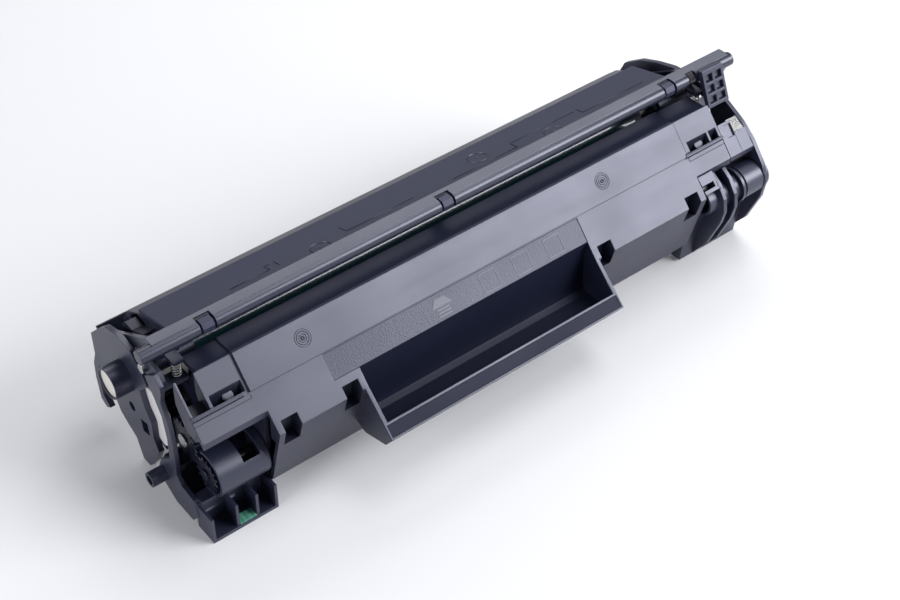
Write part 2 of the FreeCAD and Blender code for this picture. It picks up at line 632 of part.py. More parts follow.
def developer_roller():
    """Developer sleeve with its magnet, end bushes and gear."""
    sleeve = Piece("developer_sleeve")
    sleeve.add_round("drum_left + 4", "drum_right - 4", SLEEVE, "sleeve_radius",
                     "sleeve_radius - sleeve_wall")
    for start, end in (("gear_left", "drum_left + 6"), ("drum_right - 6", "seat_right + 1.6")):
        sleeve.add_round(start, end, SLEEVE, "3", "1.5 + shaft_clearance")
    for start, end in (("drum_left + 4", "drum_left + 6"), ("drum_right - 6", "drum_right - 4")):
        sleeve.add_round(start, end, SLEEVE, "sleeve_radius", "2")
    magnet = Piece("magnet_core")
    magnet.add_round("drum_left + 7", "drum_right - 7", SLEEVE, "sleeve_radius - sleeve_wall - 0.4")
    magnet.add_round("bearing_left + 0.4", "drum_left + 8", SLEEVE, "1.5")
    magnet.add_round("drum_right - 8", "seat_right + 6", SLEEVE, "1.5")
    for name, start in (("left", "seat_left"), ("right", "seat_right - seat_thick")):
        bush = Piece("sleeve_bush_" + name)
        bush.add_round(start, "%s + seat_thick" % start, SLEEVE, "bush_radius", "3 + shaft_clearance")
    plate = Piece("sleeve_bearing_plate")
    plate.add("bearing_left", "bearing_left + bearing_thick", [
        ("16", "46"), ("24", "46.5"), ("27.5", "42"), ("27", "36"), ("24.5", "28"), ("21", "22"), ("16", "20"), ("11", "23"),
        ("9.5", "30"), ("11", "40"),
    ])
    plate.cut_round("bearing_left + 0.4", "bearing_left + bearing_thick + 1", SLEEVE, "1.5 + shaft_clearance")
    gear = Piece("sleeve_gear")
    gear.teeth("gear_left", GEAR_RIGHT, SLEEVE, "sleeve_teeth", SLEEVE_PHASE)
    gear.cut_round("gear_left - 1", "%s + 1" % GEAR_RIGHT, SLEEVE, "3 + shaft_clearance")
    return sleeve, magnet, gear


def gear_train():
    idler = Piece("idler_gear")
    idler.teeth("gear_left", GEAR_RIGHT, IDLER, "idler_teeth", IDLER_PHASE)
    idler.cut_round("gear_left - 1", "%s + 1" % GEAR_RIGHT, IDLER, "2 + shaft_clearance")
    mixer = Piece("agitator_gear")
    mixer.teeth("gear_left", GEAR_RIGHT, MIXER, "mixer_teeth", MIXER_PHASE)
    mixer.cut_round("gear_left - 1", "%s + 1" % GEAR_RIGHT, MIXER, "shaft_radius + shaft_clearance")
    pin = Piece("idler_pin")
    pin.add_round("gear_left - 0.8", "seat_left + 2", IDLER, "2")
    pin.add_round("gear_left - 0.8", "gear_left - 0.2", IDLER, "3")
    return idler, mixer, pin


def doctor_blade():
    """The steel bracket over the sleeve, its rubber blade and two screws."""
    bracket = Piece("doctor_bracket")
    top_y = "crest_y + 16.9"
    bracket.add("drum_left + 4", "drum_right - 4", [
        (top_y, "crest_z - 20.9"),
        ("%s + 1.2" % top_y, "crest_z - 20.9"),
        ("%s + 1.2" % top_y, "crest_z - 25.9"),
        (top_y, "crest_z - 25.9"),
    ])
    blade = Piece("doctor_blade")
    blade.add("drum_left + 6", "drum_right - 6", [
        ("%s - 1.3" % top_y, "crest_z - 23.8"),
        ("%s - 0.1" % top_y, "crest_z - 23.8"),
        ("%s - 0.1" % top_y, "crest_z - 29.2"),
        ("%s - 1.3" % top_y, "crest_z - 28.9"),
    ])
    return bracket, blade


def left_end_cap():
    """The gear side: a curved rim, the guide boss, the round gear housing and the chip holder."""
    piece = Piece("left_end_cap")
    inner = "cap_left + cap_thick"
    piece.add("cap_left", inner, [
        ("13.5", "64"),
        ("9", "57"),
        ("4.5", "49"),
        ("2.9", "38"),
        ("3.5", "26"),
        ("11", "20"),
        ("14", "13"),
        ("11", "6"),
        ("3", "1.5"),
        ("-9", "1.3"),
        ("-13.6", "7"),
        ("-12", "15"),
        ("-3", "16.4"),
        ("-0.2", "20"),
        ("-1", "30"),
        ("-1.2", "38"),
        ("0.4", "49"),
        ("3.6", "57"),
        ("2.2", "62.4"),
        ("2.2", "66"),
        ("6", "70"),
    ])
    # Round housing over the agitator gear, open towards the cap
    piece.add_round("housing_left", "housing_right", MIXER, "housing_radius")
    piece.cut_round("housing_left - 1", "housing_right - moulded_wall", MIXER, "housing_radius - 1.5")
    piece.cut("housing_left - 1", "housing_right + 1", [
        ("%s + 4" % MIXER[0], "%s - 14" % MIXER[1]),
        ("%s + 4" % MIXER[0], "%s + 14" % MIXER[1]),
        ("%s + 20" % MIXER[0], "%s + 14" % MIXER[1]),
        ("%s + 20" % MIXER[0], "%s - 14" % MIXER[1]),
    ])
    piece.cut("housing_right - 11", "housing_right - 3.4", [
        ("%s - 7" % MIXER[0], "%s + 3.6" % MIXER[1]),
        ("%s + 3" % MIXER[0], "%s + 7" % MIXER[1]),
        ("%s + 3" % MIXER[0], "%s + 14" % MIXER[1]),
        ("%s - 14" % MIXER[0], "%s + 14" % MIXER[1]),
    ])
    piece.cut_round("housing_right - moulded_wall - 1", "housing_right + 1", MIXER, "shaft_radius + shaft_clearance")
    # Shelf under the housing that carries the chip holder, and the holder's walls
    floor_z = "%s - 10" % MIXER[1]
    piece.box(inner, "housing_right", "holder_back - 2.4", "-8.6", "%s - 1.6" % floor_z, floor_z)
    piece.box("holder_left", "holder_left + rib", "holder_front", "holder_back", "0", "holder_top")
    piece.box("holder_right - rib", "holder_right", "holder_front", "holder_back", "0", "holder_top")
    piece.box("holder_left", "holder_right", "holder_back - rib", "holder_back", "0", "%s - 1" % floor_z)
    piece.box("holder_left", "holder_right", "holder_front", "holder_back", "0", "1.5")
    for share in ("11.3", "20.5"):
        start = "holder_left + %s" % share
        piece.box(start, "%s + rib" % start, "holder_front + 0.6", "holder_back", "0", "holder_top")
    # Guide boss, hollow
    piece.add_round("boss_end", inner, BOSS, "boss_radius")
    piece.cut_round("boss_end - 1", "boss_end + 6", BOSS, "boss_radius - 1.2")
    # Floor behind the plate
    piece.add("%s - 0.1" % inner, "seat_left - 0.8", [
        ("-14", "8"), ("-9", "1.5"), ("3", "1.5"), ("9.4", "5"), ("8", "6.5"), ("2.4", "3.1"), ("-8.4", "3.1"),
        ("-13", "9"),
    ])
    # Low wall behind the gears, from that floor up to the idler
    piece.add("%s - 0.1" % inner, "seat_left - 0.8", [
        ("8.6", "4.7"), ("12.8", "8.6"), ("14", "13.2"), ("13.4", "17"), ("11.6", "20.4"), ("10.8", "19.9"),
        ("12.4", "16.7"), ("12.9", "13.3"), ("11.8", "9.2"), ("7.6", "5.9"),
    ])
    # Seat of the left separation spring
    piece.box("%s - 0.1" % inner, "spring_left + 3.4", "spring_y - 3", "spring_y + 3", "spring_low - 1.8", "spring_low")
    # Hinge ear that takes the left hinge pin
    piece.add(inner, "%s + 2" % inner, [
        ("4", "66"), ("8", "58"), ("hinge_y", "hinge_z - ear_radius"), ("hinge_y", "hinge_z + ear_radius"),
        ("6", "70"),
    ])
    piece.add_round(inner, "%s + 2" % inner, HINGE, "ear_radius")
    piece.cut_round("cap_left - 1", "%s + 3" % inner, HINGE, "hinge_radius")
    return piece


def right_end_cap():
    """The contact side: an outer plate, the ringed housing, curved ribs and a small square boss."""
    piece = Piece("right_end_cap")
    inner = "cap_right - cap_thick"
    piece.add(inner, "cap_right", [
        ("-7", "63.5"),
        ("-12", "61"),
        ("-19", "55.8"),
        ("-27.5", "46"),
        ("-30.3", "38"),
        ("-29", "29"),
        ("-22", "12"),
        ("-14", "1.5"),
        ("-2", "1.3"),
        ("7", "6"),
        ("8", "20"),
        ("3.5", "33"),
        ("3", "46"),
        ("7", "57"),
        ("hinge_y", "hinge_z - ear_radius"),
        ("hinge_y", "hinge_z + ear_radius"),
        ("7", "70"),
    ])
    piece.add_round(inner, "cap_right", HINGE, "ear_radius")
    piece.cut_round("%s - 1" % inner, "cap_right + 1", HINGE, "hinge_radius")
    # Ringed housing, stepped down towards its end
    piece.add_round("cut_right + 3", "rib_first + 2 * rib_step", RINGED, "drumlet_radius - 1.4")
    piece.add_round("rib_first + 2 * rib_step", "rib_first + 2 * rib_step + 1.6", RINGED, "drumlet_radius + 0.5")
    piece.add_round("rib_first + 2 * rib_step + 1.6", "rib_first + 2 * rib_step + 2.8", RINGED, "drumlet_radius - 0.9")
    piece.add_round("rib_first + 2 * rib_step + 2.8", "cap_right - 2.6", RINGED, "drumlet_radius")
    piece.add_round("cap_right - 2.6", "cap_right - 1.6", RINGED, "drumlet_radius - 0.6")
    piece.add_round("cap_right - 1.6", "cap_right", RINGED, "drumlet_radius")
    piece.add_round("cap_right", "drumlet_end", RINGED, "drumlet_radius - 0.8")
    piece.cut_round("cut_right + 2", "cap_right - 6", RINGED, "drumlet_radius - 2.8")
    piece.cut_round("cap_right + 0.6", "drumlet_end + 1", RINGED, "drumlet_radius - 2.2")
    # Curved ribs that run over the corner and down to the floor
    crescent = [
        ("-21.6", "50.6"),
        ("-26.5", "47.5"),
        ("-31", "41.5"),
        ("-32", "35"),
        ("-30.5", "28"),
        ("-24", "12"),
        ("-16.5", "1"),
        ("-11", "1"),
        ("-13", "6"),
        ("-18", "19"),
        ("-21.5", "32"),
        ("-16", "44"),
    ]
    for number in range(2):
        start = "rib_first + %d * rib_step" % number
        piece.add(start, "%s + 1.5 * rib" % start, crescent)
    # The cap's floor and front wall join the ribs with the outer plate and the hopper's end
    piece.add("cut_right + 0.3", inner, [
        ("-16.5", "1"), ("-11", "1"), ("-16", "19"), ("-19", "31"), ("-16", "43"), ("-18", "43.6"),
        ("-21.5", "31"), ("-18.4", "18"),
    ])
    # Square boss with a blind hole
    boss = ("-24.2", "47")
    piece.add("cut_right + 0.3", "rib_first + 0.5", [
        ("-21.4", "52.2"), ("-27.6", "46.4"), ("-24.8", "42.8"), ("-19.6", "43.4"), ("-19.6", "46"),
        ("-21.4", "47.6"),
    ])
    piece.cut_round("cut_right - 1", "rib_first - 1.4", boss, "2.2")
    # Sloping face that carries on from the cover's label face
    piece.add("cover_right + seam", "cover_right + 7.6", [
        ("-10.6", "64.3"), ("-21.1", "53"), ("-21.1", "50.5"), ("-10.6", "61.6"),
    ])
    piece.add("cover_right + 7.4", inner, [
        ("-14.6", "60"), ("-21.1", "53"), ("-21.1", "50.5"), ("-14.6", "57.4"),
    ])
    # Shallow recess beside the contact
    piece.cut("cover_right + 3.4", "cover_right + 7.2", [
        ("-12.6", "64.4"), ("-16.6", "60.1"), ("-14.9", "58.4"), ("-10.9", "62.7"),
    ])
    # Seat of the right separation spring
    piece.box("spring_right - 3.4", "%s + 0.1" % inner, "spring_y - 3", "spring_y + 3",
              "spring_low - 1.8", "spring_low")
    return piece


def waste_bin():
    """The drum unit's long frame: waste chamber, charge roller bay and hinge bosses."""
    piece = Piece("waste_bin")
    piece.add("bin_left", "bin_right", [
        ("bin_front + 0.3", "bin_top - plate_wall - seam"),
        ("plate_back - seam", "plate_back_z - plate_wall - seam"),
        ("bin_rear - 7", "plate_back_z - 8"),
        ("bin_rear", "plate_back_z - 18.5"),
        ("bin_rear", "drum_z - 1.5"),
        ("bin_rear - 6.5", "drum_z - 7"),
        ("drum_y + 14", "drum_z - 3.5"),
        ("drum_y + 14.8", "drum_z + 1.5"),
        ("drum_y + 13.2", "drum_z + 7"),
        ("%s + 6.8" % CHARGE[0], "%s - 4.5" % CHARGE[1]),
        ("%s + 6.5" % CHARGE[0], "%s + 1.5" % CHARGE[1]),
        ("%s + 1.5" % CHARGE[0], "%s + 5.6" % CHARGE[1]),
        ("%s - 4.6" % CHARGE[0], "%s + 5.2" % CHARGE[1]),
        ("%s - 7.2" % CHARGE[0], "%s + 1" % CHARGE[1]),
        ("%s - 9.8" % CHARGE[0], "%s - 1.2" % CHARGE[1]),
        ("bin_front + 1.2", "bin_top - 6.8"),
    ])
    piece.cut("bin_left + end_wall", "bin_right - end_wall", [
        ("bin_rear - 7.4", "plate_back_z - 11"),
        ("bin_rear - 2.2", "plate_back_z - 18.8"),
        ("bin_rear - 2.2", "drum_z"),
        ("bin_rear - 4.4", "drum_z - 2.6"),
        ("drum_y + 16.6", "drum_z - 1"),
        ("drum_y + 16.6", "drum_z + 2"),
        ("drum_y + 13", "drum_z + 3.6"),
        ("drum_y + 12", "drum_z + 6.2"),
        ("drum_y + 15.6", "drum_z + 6.8"),
        ("%s + 8.6" % CHARGE[0], "%s - 4" % CHARGE[1]),
        ("%s + 8.1" % CHARGE[0], "plate_back_z - 11.8"),
    ])
    piece.cut("bin_left + end_wall", "bin_right - end_wall", [
        ("bin_front + 6", "bin_top + 2"),
        ("bin_front + 6", "bin_top - 8.2"),
        ("bin_front + 17", "bin_top - 14.6"),
        ("bin_front + 19.6", "bin_top - 12"),
        ("bin_front + 19.6", "bin_top + 2"),
    ])
    for start, end in (("plate_left + plate_thick", "bin_left"), ("bin_right", "frame_right - plate_thick")):
        piece.add_round(start, end, SCREWED, "2.6")
    hinged = (("plate_left + plate_thick", "bin_left + 8"), ("bin_right - 8", "frame_right - plate_thick"))
    for start, end in hinged:
        piece.add_round(start, end, HINGE, "ear_radius")
        piece.cut_round("%s - 1" % start, "%s + 1" % end, HINGE, "hinge_radius + shaft_clearance")
    # Arms over the separation springs
    seat = "spring_low + spring_length"
    for start, end in (("spring_left - 2.4", "spring_left + 2.4"), ("spring_right - 2.4", "spring_right + 2.4")):
        piece.box(start, end, "spring_y - 2.6", "spring_y + 4.4", seat, "%s + 1.6" % seat)
    for start, end in (("spring_left - 2.4", "bin_left + 0.5"), ("bin_right - 0.5", "frame_right - 5.2")):
        piece.add(start, end, [
            ("spring_y + 4", seat),
            ("hinge_y - 2", "hinge_z + 2"),
            ("hinge_y + 2", "hinge_z + 3"),
            ("hinge_y + 2", "hinge_z + 6"),
            ("spring_y + 4", "%s + 1.6" % seat),
        ])
    # Lower ledges outside the top plate
    for start, end in (("plate_left + plate_thick + 3.6", "bin_left"), ("bin_right", "frame_right - 6.5")):
        piece.add(start, end, [
            ("bin_front + 14", "bin_top - 8.4"),
            ("plate_back - 2.6", "plate_back_z - 6"),
            ("plate_back + 3", "plate_back_z - 5.8"),
            ("bin_rear - 11", "plate_back_z - 9.6"),
            ("bin_rear - 11", "plate_back_z - 11.6"),
            ("plate_back", "plate_back_z - 7.8"),
            ("bin_front + 14", "bin_top - 10.4"),
        ])
    return piece


def bin_lid():
    """The top plate with three clips for the shutter's bar."""
    piece = Piece("waste_bin_lid")
    piece.add("bin_left", "bin_right", [
        ("bin_front", "bin_top"),
        ("plate_back", "plate_back_z"),
        ("plate_back", "plate_back_z - plate_wall"),
        ("bin_front", "bin_top - plate_wall"),
    ])
    for middle in ("clip_middle - clip_offset + 4.5", "clip_middle", "clip_middle + clip_offset + 4.5"):
        start, end = "%s - clip_half" % middle, "%s + clip_half" % middle
        piece.add(start, end, [
            ("bin_front - 0.4", "bin_top - plate_wall"),
            ("bin_front + 2.4", "bin_top - plate_wall"),
            ("bin_front + 1.4", "bin_top + 1.6"),
            ("pivot_y + 3.4", "pivot_z + 0.9"),
            ("pivot_y + 1.2", "pivot_z + 2.9"),
            ("pivot_y - 1.6", "pivot_z + 2.7"),
            ("pivot_y - 3", "pivot_z + 0.6"),
            ("pivot_y - 2.6", "pivot_z - 1.8"),
            ("pivot_y - 0.6", "pivot_z - 3"),
            ("pivot_y + 2.6", "pivot_z - 3"),
        ])
        piece.cut_round("%s - 1" % start, "%s + 1" % end, PIVOT, "neck_radius + shaft_clearance")
    return piece


def drum():
    """Photoconductor drum: coated tube, drive gear with its coupling, far flange and axle."""
    tube = Piece("drum_tube")
    tube.add_round("drum_left", "drum_right", DRUM, "drum_radius", "drum_radius - drum_wall")
    gear = Piece("drum_gear")
    gear.teeth("gear_left", GEAR_RIGHT, DRUM, "drum_teeth", "sleeve_angle")
    gear.add_round(GEAR_RIGHT, "drum_left", DRUM, "drum_radius")
    gear.add_round("drum_left", "drum_left + 6", DRUM, "drum_radius - drum_wall")
    gear.add_round("collar_end + 0.9", "gear_left", DRUM, "collar_radius - 0.8")
    flange = Piece("drum_flange")
    flange.add_round("drum_right - 5", "drum_right", DRUM, "drum_radius - drum_wall")
    flange.add_round("drum_right", "drum_right + 4", DRUM, "drum_radius")
    flange.cut_round("drum_right - 6", "drum_right + 5", DRUM, "2.5 + shaft_clearance")
    axle = Piece("drum_axle")
    axle.add_round("drum_right - 8", "frame_right + 1.5", DRUM, "2.5")
    return tube, gear, flange, axle


LATTICE_ROWS = (("71.4", "74.6"), ("75.8", "79.2"), ("80.4", "83.8"))
# Front of the thin wall that closes the cells of the lattice, at a height
LATTICE_BACK = "-3.3 + 7.1 / 15.2 * (%s - 70)"


def end_plates():
    """Plates that close the drum unit's ends. The left one has the drive collar around the coupling."""
    left = Piece("left_end_plate")
    inner = "plate_left + plate_thick"
    left.add("plate_left", inner, [
        ("61.5", "48.6"),
        ("54", "56.4"),
        ("47", "62.8"),
        ("38", "65.4"),
        ("28", "64.4"),
        ("20.5", "58"),
        ("18", "52.6"),
        ("25.2", "45"),
        ("23", "37"),
        ("19.2", "31.4"),
        ("19.4", "22.4"),
        ("16.6", "16.8"),
        ("20.4", "8.6"),
        ("27", "0"),
        ("32", "0"),
        ("35.4", "9.6"),
        ("40.4", "12.4"),
        ("46", "16"),
        ("50", "24"),
        ("55", "29"),
        ("58.4", "33"),
        ("61.2", "28"),
        ("61.4", "21"),
        ("60.6", "13.4"),
        ("56", "9.8"),
        ("59.6", "7.4"),
        ("63.4", "9.4"),
        ("64.8", "21"),
        ("64.2", "30"),
        ("61.4", "37"),
    ])
    left.add_round("collar_end", "plate_left", DRUM, "collar_radius")
    left.cut_round("collar_end - 1", "%s + 1" % inner, DRUM, "collar_radius - 0.8 + shaft_clearance")
    left.cut_round("plate_left - 1", "%s + 1" % inner, ("34.4", "28.6"), "2.2")
    left.cut("plate_left - 1", "%s + 1" % inner, [
        ("22.4", "21.5"), ("27.6", "20"), ("28.6", "26.4"), ("23.2", "27.6"),
    ])
    right = Piece("right_end_plate")
    start = "frame_right - plate_thick"
    right.add(start, "frame_right", [
        ("61", "45"),
        ("54", "60"),
        ("44", "67"),
        ("34", "71"),
        ("24", "74"),
        ("14.5", "75"),
        ("12", "74.6"),
        ("21", "61"),
        ("22.5", "50"),
        ("19", "38"),
        ("15", "24"),
        ("20", "10"),
        ("26", "0"),
        ("32", "0"),
        ("38", "10"),
        ("46", "20"),
        ("56", "30"),
    ])
    right.cut_round("%s - 1" % start, "frame_right + 1", DRUM, "2.5")
    right.add_round(start, "frame_right", HINGE, "ear_radius")
    right.cut_round("%s - 1" % start, "frame_right + 1", HINGE, "hinge_radius + shaft_clearance")
    # Arm forward to the open lattice in front of the bar's right end
    right.add(start, "frame_right", [
        ("11.5", "70"), ("16", "70.2"), ("16", "75"), ("6", "75.4"), ("-1.2", "72.8"), ("-3", "70"), ("2", "69.6"),
    ])
    right.add("lattice_left", "lattice_right", [
        ("-5", "70"), ("-2.6", "70"), ("4.5", "85.2"), ("1.9", "85.8"),
    ])
    middle = "(lattice_left + lattice_right) / 2"
    for left_side, right_side in (("lattice_left + rib", "%s - rib / 2" % middle),
                                  ("%s + rib / 2" % middle, "lattice_right - rib")):
        for low, high in LATTICE_ROWS:
            right.cut(left_side, right_side, [
                ("-8", low),
                (LATTICE_BACK % low, low),
                (LATTICE_BACK % high, high),
                ("-8", high),
            ])
    return left, right


def charge_roller():
    core = Piece("charge_core")
    core.add_round("drum_left - 3", "drum_right + 3", CHARGE, "2.5")
    rubber = Piece("charge_rubber")
    rubber.add_round("drum_left + 4", "drum_right - 4", CHARGE, "charge_radius", "2.5")
    for side, start in (("left", "drum_left - 3.6"), ("right", "drum_right + 0.6")):
        holder = Piece("charge_holder_" + side)
        end = "%s + 3" % start
        holder.box(start, end, "%s - 3.8" % CHARGE[0], "%s + 3.4" % CHARGE[0],
                   "%s - 2.6" % CHARGE[1], "%s + 3.2" % CHARGE[1])
        holder.cut_round("%s - 1" % start, "%s + 1" % end, CHARGE, "2.5 + shaft_clearance")
    return core, rubber


def cleaning_blade():
    """Blade that wipes the drum, on its folded steel bracket, and the film under it."""
    bracket = Piece("wiper_bracket")
    bracket.add("drum_left + 1", "drum_right - 1", [
        ("drum_y + 13.1", "drum_z + 4.4"), ("drum_y + 16.2", "drum_z + 3"), ("drum_y + 16.4", "drum_z + 4.1"),
        ("drum_y + 13.3", "drum_z + 5.6"),
    ])
    blade = Piece("wiper_blade")
    blade.add("drum_left + 2", "drum_right - 2", [
        ("drum_y + 12.3", "drum_z + 2.6"), ("drum_y + 13", "drum_z + 2.6"), ("drum_y + 13", "drum_z + 5.6"),
        ("drum_y + 12.3", "drum_z + 5.6"),
    ])
    return bracket, blade


def shutter():
    """The bar in the lid's clips, its two arms and the curved cover over the drum."""
    piece = Piece("drum_shutter")
    piece.add_round("bar_left", "bar_right", PIVOT, "bar_radius")
    piece.add("bar_left + 6", "bar_right - 1.5", [
        ("pivot_y - 0.4", "pivot_z + bar_radius"),
        ("pivot_y - 0.4", "pivot_z + bar_radius - flange_thick"),
        ("flange_back - 0.2", "pivot_z + bar_radius - flange_thick"),
        ("flange_back", "pivot_z + bar_radius - 0.3"),
        ("flange_back - 0.4", "pivot_z + bar_radius"),
    ])
    for middle in ("clip_middle - clip_offset + 4.5", "clip_middle", "clip_middle + clip_offset + 4.5"):
        start, end = "%s - neck_half" % middle, "%s + neck_half" % middle
        sketch = piece.sketch(start)
        piece.draw_circle(sketch, PIVOT, "bar_radius + 1")
        piece.draw_circle(sketch, PIVOT, "neck_radius")
        piece.run(sketch, start, end, "Pocket")
    # Groove of the shutter's spring, under the flange
    sketch = piece.sketch("bin_right + 0.7")
    piece.draw_circle(sketch, PIVOT, "bar_radius + 0.05")
    piece.draw_circle(sketch, PIVOT, "neck_radius")
    piece.run(sketch, "bin_right + 0.7", "bin_right + 5.3", "Pocket")
    left_arm = "plate_left + plate_thick + arm_inset"
    right_arm = "frame_right - plate_thick - arm_inset - arm_thick"
    outer = "shutter_radius + shutter_wall"
    piece.add_round(left_arm, "%s + arm_thick" % right_arm, PIVOT, outer, "shutter_radius")
    # Only the part of the ring under and behind the drum is kept
    piece.cut("%s - 1" % left_arm, "%s + arm_thick + 1" % right_arm, [
        ("pivot_y - bar_radius - 0.8", "pivot_z + bar_radius + 0.8"),
        ("pivot_y + 9", "pivot_z + bar_radius + 0.8"),
        ("pivot_y + 9", "pivot_z"),
        ("pivot_y + 90", "pivot_z - 54"),
        ("pivot_y + 90", "pivot_z + 90"),
        ("pivot_y - 90", "pivot_z + 90"),
        ("pivot_y - 90", "pivot_z - 90"),
        ("pivot_y + 14", "pivot_z - 90"),
        ("pivot_y - bar_radius - 0.8", "pivot_z"),
    ])
    for start in (left_arm, right_arm):
        piece.add(start, "%s + arm_thick" % start, [
            ("pivot_y + 1.4", "pivot_z + 2.2"),
            ("pivot_y + 52.6", "pivot_z - 30.6"),
            ("pivot_y + 54.4", "pivot_z - 33.2"),
            ("pivot_y + 51.6", "pivot_z - 38.2"),
            ("pivot_y + 49.2", "pivot_z - 34.6"),
            ("pivot_y - 1.4", "pivot_z - 2.2"),
        ])
    # Lever at the right end of the bar
    piece.add("bar_right - 6", "bar_right - 3", [
        ("pivot_y - 2", "pivot_z - 2"), ("pivot_y + 2", "pivot_z - 2"), ("pivot_y + 4", "pivot_z - 9"),
        ("pivot_y + 1", "pivot_z - 9.6"),
    ])
    return piece


def small_parts():
    """Hinge pins, springs, contacts, the memory chip and the screws."""
    for side, start, end in (
        ("left", "cap_left - 0.3", "bin_left + 7.6"),
        ("right", "bin_right - 7.6", "cap_right + 0.3"),
    ):
        pin = Piece("hinge_pin_" + side)
        pin.add_round(start, end, HINGE, "hinge_radius")
    chip = Piece("memory_chip")
    chip.box("holder_left + 12.8", "holder_left + 20.3", "holder_front + 0.5", "holder_front + 5", "1.5", "2.3")
    for side in ("left", "right"):
        spring = Piece("separation_spring_" + side)
        spring.peg(("spring_" + side, "spring_y", "spring_low"), "spring_radius", "spring_length", 0)
    # A loop of the shutter's spring round the bar, and the charge roller's two springs
    spring = Piece("shutter_spring")
    spring.add_round("bin_right + 1", "bin_right + 5", PIVOT, "bar_radius - 0.2", "neck_radius + 0.3")
    for side, place in (("left", "drum_left - 2.1"), ("right", "drum_right + 2.1")):
        spring = Piece("charge_spring_" + side)
        spring.peg((place, CHARGE[0], "%s + 3.2" % CHARGE[1]), "1.5", "2.2", 0)
    screws = Piece("doctor_screws")
    for place in ("drum_left + 9", "(drum_left + drum_right) / 2", "drum_right - 9"):
        screws.peg((place, "crest_y + 19.5", "crest_z - 23.4"), "2.2", "1.4", 90)
    screws = Piece("end_screws")
    screws.add_round("frame_right", "frame_right + 1.4", SCREWED, "screw_head")
    contact = Piece("bias_contact")
    contact.add("cover_right + 7.8", "cap_right - cap_thick", [
        ("-8.4", "62.4"), ("-14.4", "58.9"), ("-14.4", "58.2"), ("-8.4", "61.7"),
    ])
    return chip


hopper_cover()
toner_hopper()
fill_plug()
agitator()
developer_roller()
gear_train()
doctor_blade()
left_end_cap()
right_end_cap()
waste_bin()
bin_lid()
drum()
end_plates()
charge_roller()
cleaning_blade()
shutter()
small_parts()

doc.recompute()
os.makedirs("parts", exist_ok=True)
for thing in doc.Objects:
    if "Invalid" in thing.State or "Error" in thing.State:
        raise RuntimeError("%s failed: %s" % (thing.Name, thing.State))
    if thing.TypeId == "PartDesign::Pocket":
        if thing.BaseFeature.Shape.Volume - thing.Shape.Volume < COLLAPSED:
            raise RuntimeError("%s cuts nothing" % thing.Name)
for body in PIECES:
    shape = body.Shape
    if shape.isNull() or not shape.isValid():
        raise RuntimeError("%s has no sound shape" % body.Label)
    shape.exportStep("parts/%s.step" % body.Label)
    print(body.Label, len(shape.Solids), round(shape.Volume), shape.BoundBox)
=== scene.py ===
import json
import math

import bmesh
import bpy
from mathutils import Matrix, Vector


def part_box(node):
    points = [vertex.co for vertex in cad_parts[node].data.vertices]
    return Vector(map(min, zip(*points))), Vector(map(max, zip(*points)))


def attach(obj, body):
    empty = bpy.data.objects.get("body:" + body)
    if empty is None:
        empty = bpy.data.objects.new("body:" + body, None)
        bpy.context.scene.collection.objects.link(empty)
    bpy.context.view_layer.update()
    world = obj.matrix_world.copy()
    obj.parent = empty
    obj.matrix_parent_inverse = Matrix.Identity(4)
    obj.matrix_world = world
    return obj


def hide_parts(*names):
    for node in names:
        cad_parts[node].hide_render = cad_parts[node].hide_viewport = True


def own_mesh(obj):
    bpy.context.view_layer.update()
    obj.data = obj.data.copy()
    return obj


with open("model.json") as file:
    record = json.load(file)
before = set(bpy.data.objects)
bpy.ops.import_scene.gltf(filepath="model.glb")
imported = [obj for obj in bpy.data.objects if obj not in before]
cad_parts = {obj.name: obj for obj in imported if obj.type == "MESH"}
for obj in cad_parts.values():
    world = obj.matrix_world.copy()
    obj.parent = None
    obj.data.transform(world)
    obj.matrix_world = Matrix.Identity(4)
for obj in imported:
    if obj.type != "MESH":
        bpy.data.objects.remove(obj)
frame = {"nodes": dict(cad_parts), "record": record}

bl_info = {
    "name": "Toner Cartridge",
    "version": (1, 0, 0),
    "blender": (4, 5, 0),
    "location": "3D View > Sidebar > Cartridge",
    "description": "Dresses a printer's toner cartridge and sets its studio",
    "category": "Object",
}

RECORD = frame["record"]
NODES = frame["nodes"]
BODIES = RECORD["behaviour"]["bodies"]
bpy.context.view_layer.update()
MM = 0.001

# Edges that turn more than ROUNDED get a rounding, and the shading breaks at a CREASE
ROUNDED = math.radians(28)
CREASE = math.radians(38)
MERGED = 0.002 * MM

# Sides of the round wire of springs and of the thin rings, and the softening of a thin bar
WIRE_SIDES = 8
SOFTENED = 0.3

# Planes of the upper face, of the top plate and of the handle's lip
CREST = Vector((0.0, -3.7 * MM, 71.7 * MM))
SLOPE = Vector((0.0, -24.8, -26.6)).normalized()
FACE_NORMAL = Vector((0.0, -26.6, 24.8)).normalized()
PROUD = Vector((0.0, -0.85 * MM, 0.85 * MM))
LID_EDGE = Vector((0.0, 12.5 * MM, 79.0 * MM))
LID_NORMAL = Vector((0.0, 7.4, 26.1)).normalized()
LIP_NORMAL = Vector((0.0, -4.6, 5.1)).normalized()
LIP_TOP = -40.1 * MM
PARALLEL = 0.999
LIP_RIM = 0.8 * MM
LIP_WALL = 0.05 * MM
LIP_DEPTH = 0.4 * MM


# Sizes and colours that a user would change

